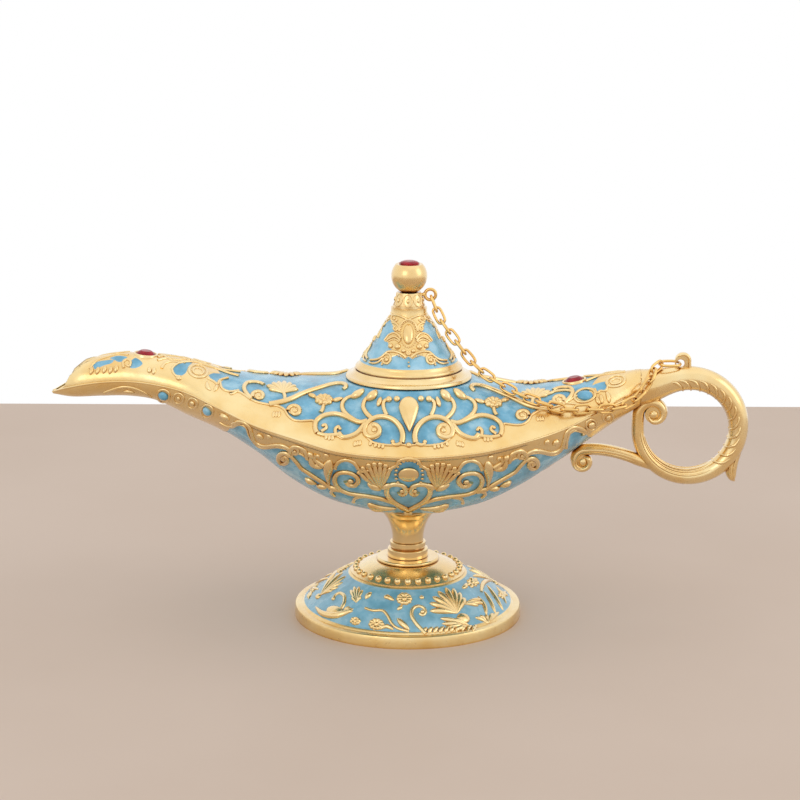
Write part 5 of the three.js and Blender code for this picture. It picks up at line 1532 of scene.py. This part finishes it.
roll_radius = EAR_RADIUS - EAR_ROLL / 2
roll_path = [
    (EAR_CENTRE.x + roll_radius + 0.5, EAR_HOLE.y - EAR_ROOT, EAR_ROLL * 1.5, EAR_ROLL_DEPTH),
    (EAR_CENTRE.x + roll_radius + 0.2, EAR_HOLE.y - EAR_ROOT / 2, EAR_ROLL * 1.2, EAR_ROLL_DEPTH)]
for k in range(17):
    size = EAR_ROLL if k < 14 else between(EAR_ROLL, EAR_ROLL / 2, (k - 13) / 3)
    roll_path.append(around(EAR_CENTRE, roll_radius, 150 * k / 16, size, EAR_ROLL_DEPTH * size / EAR_ROLL))
placed(swept(roll_path, "ear_roll"), "handle_ear_roll", [gilt], sharp=60)

# The handle's leaf barbs and grooves are fine raised lines on the loop, the strut and the spur.
# A place along the loop is a count of path points, and a place across it an angle in degrees.
LEAF_BARBS = 13
BARB_PLACES = (19, 60)
BARB_BOW = ((-1.6, 88), (0, 94), (1.4, 110), (2.5, 134), (3.2, 166))
BARB_SIZE = 0.38
GROOVE_START = 65
GROOVE_ENDS = ((112, 96), (136, 95), (158, 94))
GROOVE_STEPS = 30
GROOVE_SIZE = 0.26
STRUT_GROOVES = (-0.35, 0.35)
STRUT_GROOVE_ENDS = (8, 46)
SPUR_GROOVES = (-0.4, 0.3)
SPUR_GROOVE_ENDS = (8, -4)


def bar_spot(place, section, side):
    i = int(place)
    here, there = handle_path[i], handle_path[i + 1]
    x, z, thick, depth = (between(a, b, place - i) for a, b in zip(here, there))
    across = Vector((here[1] - there[1], there[0] - here[0])).normalized()
    across *= thick / 2 * math.cos(math.radians(section))
    out = side * depth / 2 * math.sin(math.radians(section))
    return handle_place + Vector((x + across.x, out, z + across.y))


def bar_line(path, first, last, level, side):
    line = []
    for before, here, after in zip(path[first:last], path[first + 1:last + 1], path[first + 2:last + 2]):
        along = Vector((after[0] - before[0], after[1] - before[1])).normalized()
        across = Vector((-along.y, along.x)) * here[2] / 2 * level
        out = here[3] / 2 * math.sqrt(1 - level * level)
        line.append(handle_place + Vector((here[0] + across.x, side * out, here[1] + across.y)))
    return line


def fine_line(spots, size):
    last = len(spots) - 1
    add_line(fine_lines, spots, [
        size * (0.25 + math.sin(math.pi * i / last) ** 0.5) for i in range(len(spots))])


fine_lines = curve_lines("fine_lines", 1)
for side in (-1, 1):
    for k in range(LEAF_BARBS):
        root = between(*BARB_PLACES, k / (LEAF_BARBS - 1))
        fine_line([bar_spot(root + step, section, side) for step, section in flowing(BARB_BOW)], BARB_SIZE)
    for section, end in GROOVE_ENDS:
        places = [between(GROOVE_START, end, k / GROOVE_STEPS) for k in range(GROOVE_STEPS + 1)]
        fine_line([bar_spot(place, section, side) for place in places], GROOVE_SIZE)
    for level in STRUT_GROOVES:
        fine_line(bar_line(strut_path, *STRUT_GROOVE_ENDS, level, side), GROOVE_SIZE)
    for level in SPUR_GROOVES:
        fine_line(bar_line(spur_path, *SPUR_GROOVE_ENDS, level, side), GROOVE_SIZE)
fine_bm = bmesh.new()
add_tubes(fine_bm, fine_lines)
placed(fine_bm, "handle_relief", [gilt], sharp=60)

# Lid
# A spun brass cone, enamelled between a gilt edge and a gilt band at the top, with three raised
# gilt crests. A register ring under it centres it in the collar; that solid keeps its shape.
LID_Z = HULL_Z + NECK_HEIGHT + COLLAR_HEIGHT
LID_RADIUS = 16.1
LID_EDGE = 0.8
LID_SHOULDER_RADIUS = 14.8
LID_SHOULDER = 2.6
LID_TOP_RADIUS = 5.4
LID_CONE_HEIGHT = 16.8
LID_BAND = 1.9
LID_SAG = 0.5
LID_HEIGHT = LID_CONE_HEIGHT + LID_BAND
LID_WALL = 2.4
LID_CRESTS = 3
LID_GAP = 0.4
LID_BORE = 12.2
LID_BOSS = 3.6
LID_HOLLOW = (7.4, 8)
LID_BORE_EDGE = 1.6
LID_FIELD_EDGE = 0.3
FINIAL_HOLE = 1.45
LID_DEEP = (0.16, 0.44, 0.62)
LID_MID = (0.31, 0.66, 0.87)
LID_PALE = (0.46, 0.77, 0.95)
# The enlarged view of the lid, moved so that the crest's middle is on the lamp's axis
LID_VIEW = (347.5, 250, 10.816)
LID_MIDDLE = 665
CREST_GROUND = (
    (480, 690), (470, 760), (500, 830), (520, 880), (440, 912), (400, 985), (446, 1000), (440, 1050),
    (490, 1078), (440, 1100), (400, 1140), (330, 1172), (390, 1236), (450, 1236), (470, 1160),
    (560, 1130), (620, 1182), (665, 1150))
lid_side = bent(
    (LID_SHOULDER_RADIUS, LID_SHOULDER),
    ((LID_SHOULDER_RADIUS + LID_TOP_RADIUS) / 2 - LID_SAG, (LID_SHOULDER + LID_CONE_HEIGHT) / 2 - LID_SAG),
    (LID_TOP_RADIUS, LID_CONE_HEIGHT), 64)


def mirrored(points):
    return [(2 * LID_MIDDLE - x, y) for x, y in points]


def lid_field(height):
    return min(height - LID_SHOULDER, LID_CONE_HEIGHT - LID_FIELD_EDGE - height)


crest_outline = list(CREST_GROUND) + mirrored(CREST_GROUND)[-2::-1]


def crest_depth(spot):
    flat = Vector((spot.x - AXIS_X, spot.y))
    part = 2 * math.pi / LID_CRESTS
    turn = math.atan2(flat.x, -flat.y)
    turn -= part * round(turn / part)
    front = Vector((AXIS_X + flat.length * math.sin(turn), -flat.length * math.cos(turn), spot.z))
    return patch_depth([crest_outline], LID_VIEW, front)


lid_outline = [
    (LID_BORE, 0), (LID_RADIUS - 2 * LID_GAP, 0), (LID_RADIUS - 2 * LID_GAP, LID_GAP),
    (LID_RADIUS, LID_GAP), (LID_RADIUS, LID_EDGE),
    *bent(
        (LID_RADIUS - 0.2, LID_EDGE + 0.3), (LID_SHOULDER_RADIUS + 0.2, LID_EDGE + 0.5),
        lid_side[0], 6)[:-1]]
lid_outline += lid_side
lid_outline += [
    (LID_TOP_RADIUS, LID_HEIGHT), (FINIAL_HOLE, LID_HEIGHT), (FINIAL_HOLE, LID_HEIGHT - LID_BOSS)]
lid_outline += bent((LID_BOSS, LID_HEIGHT - LID_BOSS), LID_HOLLOW, (LID_BORE, LID_BORE_EDGE), 8)
lid_bm = turned(lid_outline, LID_Z, 240)
lid_bm.normal_update()
lid_tree = BVHTree.FromBMesh(lid_bm)


def lid_depth(spot):
    height = lid_field(spot.z - LID_Z)
    if height < 0 or math.hypot(spot.x - AXIS_X, spot.y) < between(
            LID_SHOULDER_RADIUS, LID_TOP_RADIUS, (spot.z - LID_Z) / LID_CONE_HEIGHT) - LID_WALL / 2:
        return -1
    return min(height, -crest_depth(spot))


enamel_sunk(lid_bm, lid_depth)
lid_enamel = enamelled_material("lid_enamel", LID_DEEP, LID_MID, LID_PALE)
placed(lid_bm, "lid_cone_spun", [lid_enamel], "lid", ["lid_cone"], sharp=50)
CREST_OVAL = (LID_MIDDLE, 912)
CREST_OVAL_SIZE = (1.6, 3.3, 1.0)
CREST_OVAL_BEADS = (88, 142, 28, 0.3)
CREST_FLOWER = ((LID_MIDDLE, 1116), 34, 8, 0.35, 0.9)
CREST_DROPS = {"lower drop": ((LID_MIDDLE + 3, 1256), 0.4), "upper drop": ((LID_MIDDLE, 1215), 0.28)}
SWAG_BEADS = 6
SWAG_START = (514, 1130)
SWAG_STEP = (21, 8)
SWAG_BEAD_SIZE = 0.24
CREST_STRANDS = {
    "hood": (0.5, 0.45, ((566, 880), (572, 830), (600, 785), (636, 762), (665, 754))),
    "top scroll": (
        0.4, 0.35, ((652, 748), (600, 724), (540, 706), (492, 712), (486, 758), (520, 776), (552, 752))),
    "side curl": (0.4, 0.35, ((492, 784), (540, 800), (560, 840), (530, 872), (506, 850), (520, 826))),
    "upper plume": (0.45, 0.3, ((584, 960), (552, 912), (506, 898), (452, 920), (404, 978))),
    "lower plume": (0.45, 0.3, ((578, 984), (540, 946), (500, 940), (462, 958), (424, 984))),
    "plume's edge": (0.35, 0.3, ((570, 996), (520, 966), (480, 972), (446, 990))),
    "swag": (
        0.5, 0.4, ((640, 1164), (600, 1130), (556, 1108), (500, 1096), (440, 1102), (404, 1130),
                   (370, 1160), (320, 1184), (250, 1190))),
    "swag's curl": (
        0.4, 0.35,
        ((404, 1130), (456, 1130), (470, 1180), (440, 1226), (396, 1222), (390, 1180), (426, 1166))),
    "swag's leaf": (0.4, 0.3, ((386, 1170), (340, 1210), (290, 1226), (236, 1216))),
}
CREST_BEADS = {
    "outer bead": ((472, 1038), 0.85), "large bead": ((548, 1044), 1.0), "flower bead": ((612, 1090), 0.7),
    "upper bead": ((518, 742), 0.45), "curl's bead": ((428, 1190), 0.7), "leaf's bead": ((376, 1236), 0.4),
}
lid_work = Ornament(lid_tree, turned_copies(LID_CRESTS), LID_VIEW)
lid_work.boss(CREST_OVAL, *CREST_OVAL_SIZE, segments=20)
lid_work.beads(CREST_OVAL, *CREST_OVAL_BEADS)
for start, end, points in CREST_STRANDS.values():
    lid_work.wire(points, start, end)
    lid_work.wire(mirrored(points), start, end)
for centre, size in CREST_BEADS.values():
    lid_work.boss(centre, size)
    lid_work.boss(mirrored([centre])[0], size)
for k in range(SWAG_BEADS):
    bead = moved(SWAG_START, (SWAG_STEP[0] * k, SWAG_STEP[1] * k))
    lid_work.boss(bead, SWAG_BEAD_SIZE, segments=8)
    lid_work.boss(mirrored([bead])[0], SWAG_BEAD_SIZE, segments=8)
lid_work.flower(*CREST_FLOWER)
lid_work.studs(CREST_DROPS)
lid_work.finish("lid_crests", gilt, "lid")
dressed("lid_register", raw_brass)

# Finial
# A cup with petals, a polished ball and a stone on top, held by a bolt from inside the lid. A
# wire eye let into the cup takes the last link of the chain.
FINIAL_Z = LID_Z + LID_HEIGHT
FINIAL_CUP_RADIUS = 4.9
FINIAL_CUP_FOOT = 0.8
FINIAL_CUP_TOP_RADIUS = 3.6
FINIAL_CUP_HEIGHT = 4.6
FINIAL_PETALS = 8
FINIAL_PETAL_DEPTH = 0.02
FINIAL_WAIST_STEP = 0.3
FINIAL_WAIST_HEIGHT = 2.4
FINIAL_DROP = ((LID_MIDDLE, 556), 0.5, 0.75, 0.4)
FINIAL_DROP_RING = ((LID_MIDDLE, 552), 50, 64, 0.2)
BALL_RADIUS = 5.4
BALL_FLAT_RADIUS = 2.3
BALL_GEM_RISE = 3.6
BALL_GEM_SHARE = 0.6
BALL_COAT_ROUGHNESS = 0.28
BALL_Z = FINIAL_Z + FINIAL_CUP_HEIGHT + math.sqrt(BALL_RADIUS ** 2 - BALL_FLAT_RADIUS ** 2)
waist = (FINIAL_CUP_RADIUS + FINIAL_CUP_TOP_RADIUS) / 2
finial_bm = turned([
    (FINIAL_HOLE, 0), (FINIAL_CUP_RADIUS, 0), (FINIAL_CUP_RADIUS, FINIAL_CUP_FOOT),
    *bent((waist + FINIAL_WAIST_STEP, FINIAL_CUP_FOOT), (waist, FINIAL_WAIST_HEIGHT),
          (FINIAL_CUP_TOP_RADIUS, FINIAL_CUP_HEIGHT), 10),
    (FINIAL_HOLE, FINIAL_CUP_HEIGHT)], FINIAL_Z, 120)
for vert in finial_bm.verts:
    flat = Vector((vert.co.x - AXIS_X, vert.co.y))
    if flat.length > BALL_FLAT_RADIUS and vert.co.z - FINIAL_Z >= FINIAL_CUP_FOOT - 0.01:
        swell = FINIAL_PETAL_DEPTH * (abs(math.cos(FINIAL_PETALS / 2 * math.atan2(flat.x, flat.y))) - 1)
        vert.co.xy = Vector((AXIS_X, 0)) + flat * (1 + swell)
finial_bm.normal_update()
finial_tree = BVHTree.FromBMesh(finial_bm)
placed(finial_bm, "finial_cup_petals", [gilt], "lid", nodes=["finial_cup"])
finial_work = Ornament(finial_tree, turned_copies(FINIAL_PETALS), LID_VIEW)
finial_work.boss(*FINIAL_DROP)
finial_work.ring(*FINIAL_DROP_RING)
finial_work.finish("finial_drops", gilt, "lid")
ball_bm = bmesh.new()
bmesh.ops.create_uvsphere(
    ball_bm, u_segments=64, v_segments=40, radius=BALL_RADIUS,
    matrix=Matrix.Translation((AXIS_X, 0, BALL_Z)))
for height, up in ((FINIAL_Z + FINIAL_CUP_HEIGHT, -1), (BALL_Z + BALL_GEM_RISE, 1)):
    cut = cut_away(ball_bm, (0, 0, height), (0, 0, up))
    ring = [item for item in cut["geom_cut"] if isinstance(item, bmesh.types.BMEdge)]
    bmesh.ops.contextual_create(ball_bm, geom=ring)
ball_gilt = gilt_material("ball_gilt", 0.24, 0.3, 0.02, coat=BALL_COAT_ROUGHNESS)
placed(ball_bm, "finial_ball_polished", [ball_gilt], "lid", nodes=["finial_ball"])
ball_stone = cut_stone(
    Vector((AXIS_X, 0, BALL_Z + BALL_GEM_RISE)), GEM_RADIUS, GEM_HEIGHT * BALL_GEM_SHARE)
placed(ball_stone, "finial_stone", [ruby], "lid", ["finial_gem"], sharp=5)

# Ear ring, chain and lid eye
# Soft round brass wire bent into oval links and closed. Each link hangs in the next and rides on
# its own body; the eye rides with the lid.
CHAIN_LINKS = 24
WIRE_SWELL = 0.06
WIRE_MID = (0.80, 0.44, 0.06)
WIRE_PALE = (0.88, 0.56, 0.13)
wire_gilt = gilt_material("wire_gilt", 0.16, 0.26, 0.03, WIRE_MID, WIRE_PALE)


def wire_ring(node, body):
    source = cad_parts[node]
    bm = bmesh.new()
    bm.from_mesh(source.data)
    bmesh.ops.remove_doubles(bm, verts=bm.verts, dist=0.00001)
    bmesh.ops.join_triangles(
        bm, faces=bm.faces, angle_face_threshold=1.2, angle_shape_threshold=1.6)
    bmesh.ops.scale(bm, verts=bm.verts, vec=(1 / MM, 1 / MM, 1 / MM))
    bm.normal_update()
    for vert in bm.verts:
        vert.co += vert.normal * WIRE_SWELL
    piece = placed(bm, node + "_wire", [wire_gilt], body, nodes=[node], sharp=180)
    rounding = piece.modifiers.new("round_wire", "SUBSURF")
    rounding.levels = 2
    rounding.render_levels = 2


wire_ring("lid_eye", "lid")
wire_ring("ear_ring", "ear_ring")
for i in range(CHAIN_LINKS):
    wire_ring(f"chain_link_{i + 1:02d}", f"chain_link_{i + 1:02d}")

# Floor, backdrop and lights
# A plain pale floor that ends behind the lamp in front of a plain white backdrop, lit by large
# soft lamps above and in front.
FLOOR_FRONT = -900
FLOOR_BACK = 277
FLOOR_HALF = 900
FLOOR_NOISE = (6, 4)
FLOOR_DARK = (0.66, 0.52, 0.42)
FLOOR_PALE = (0.70, 0.56, 0.46)
floor, floor_shader = mottled_material("pale_floor", FLOOR_NOISE, FLOOR_DARK, FLOOR_PALE)
set_inputs(floor_shader, {"Roughness": 0.6})
floor_bm = bmesh.new()
bmesh.ops.create_grid(floor_bm, x_segments=1, y_segments=1, size=1)
for vert in floor_bm.verts:
    vert.co = (vert.co.x * FLOOR_HALF * MM, (FLOOR_BACK if vert.co.y > 0 else FLOOR_FRONT) * MM, 0)
floor_mesh = bpy.data.meshes.new("floor")
floor_bm.to_mesh(floor_mesh)
floor_bm.free()
floor_mesh.materials.append(floor)
floor_piece = scene_object("floor", floor_mesh)

WHITE = (1, 1, 1, 1)
SKY_STRENGTH = 0.75
LAMP_AIM = Vector((0, 0, 0.06))
SOFT_LAMPS = {
    "top_lamp": ((0.1, 0.1, 1.2), 2.0, 1.6, 1.1),
    "front_lamp": ((-0.6, -1.0, 0.6), 0.6, 0.5, 1.1),
    "side_lamp": ((0.9, -0.3, 0.5), 0.5, 0.6, 0.9),
}
world = bpy.data.worlds.new("studio")
world.use_nodes = True
bpy.context.scene.world = world
world_nodes = world.node_tree.nodes
sky = world_nodes["Background"]
set_inputs(sky, {"Color": WHITE, "Strength": SKY_STRENGTH})
white = world_nodes.new("ShaderNodeBackground")
set_inputs(white, {"Color": WHITE, "Strength": 1})
rays = world_nodes.new("ShaderNodeLightPath")
mirrors = world_nodes.new("ShaderNodeMath")
mirrors.operation = "MAXIMUM"
direct = world_nodes.new("ShaderNodeMath")
direct.operation = "MAXIMUM"
choice = world_nodes.new("ShaderNodeMixShader")
for output, socket in (
        (rays.outputs["Is Glossy Ray"], mirrors.inputs[0]),
        (rays.outputs["Is Transmission Ray"], mirrors.inputs[1]),
        (rays.outputs["Is Camera Ray"], direct.inputs[0]),
        (mirrors.outputs["Value"], direct.inputs[1]),
        (direct.outputs["Value"], choice.inputs["Fac"]),
        (sky.outputs["Background"], choice.inputs[1]),
        (white.outputs["Background"], choice.inputs[2]),
        (choice.outputs["Shader"], world_nodes["World Output"].inputs["Surface"])):
    world.node_tree.links.new(output, socket)
for name, (place, width, height, power) in SOFT_LAMPS.items():
    light = bpy.data.lights.new(name, "AREA")
    light.shape = "RECTANGLE"
    light.size = width
    light.size_y = height
    light.energy = power
    lamp = scene_object(name, light)
    lamp.location = place
    lamp.rotation_euler = (LAMP_AIM - Vector(place)).to_track_quat("-Z", "Y").to_euler()
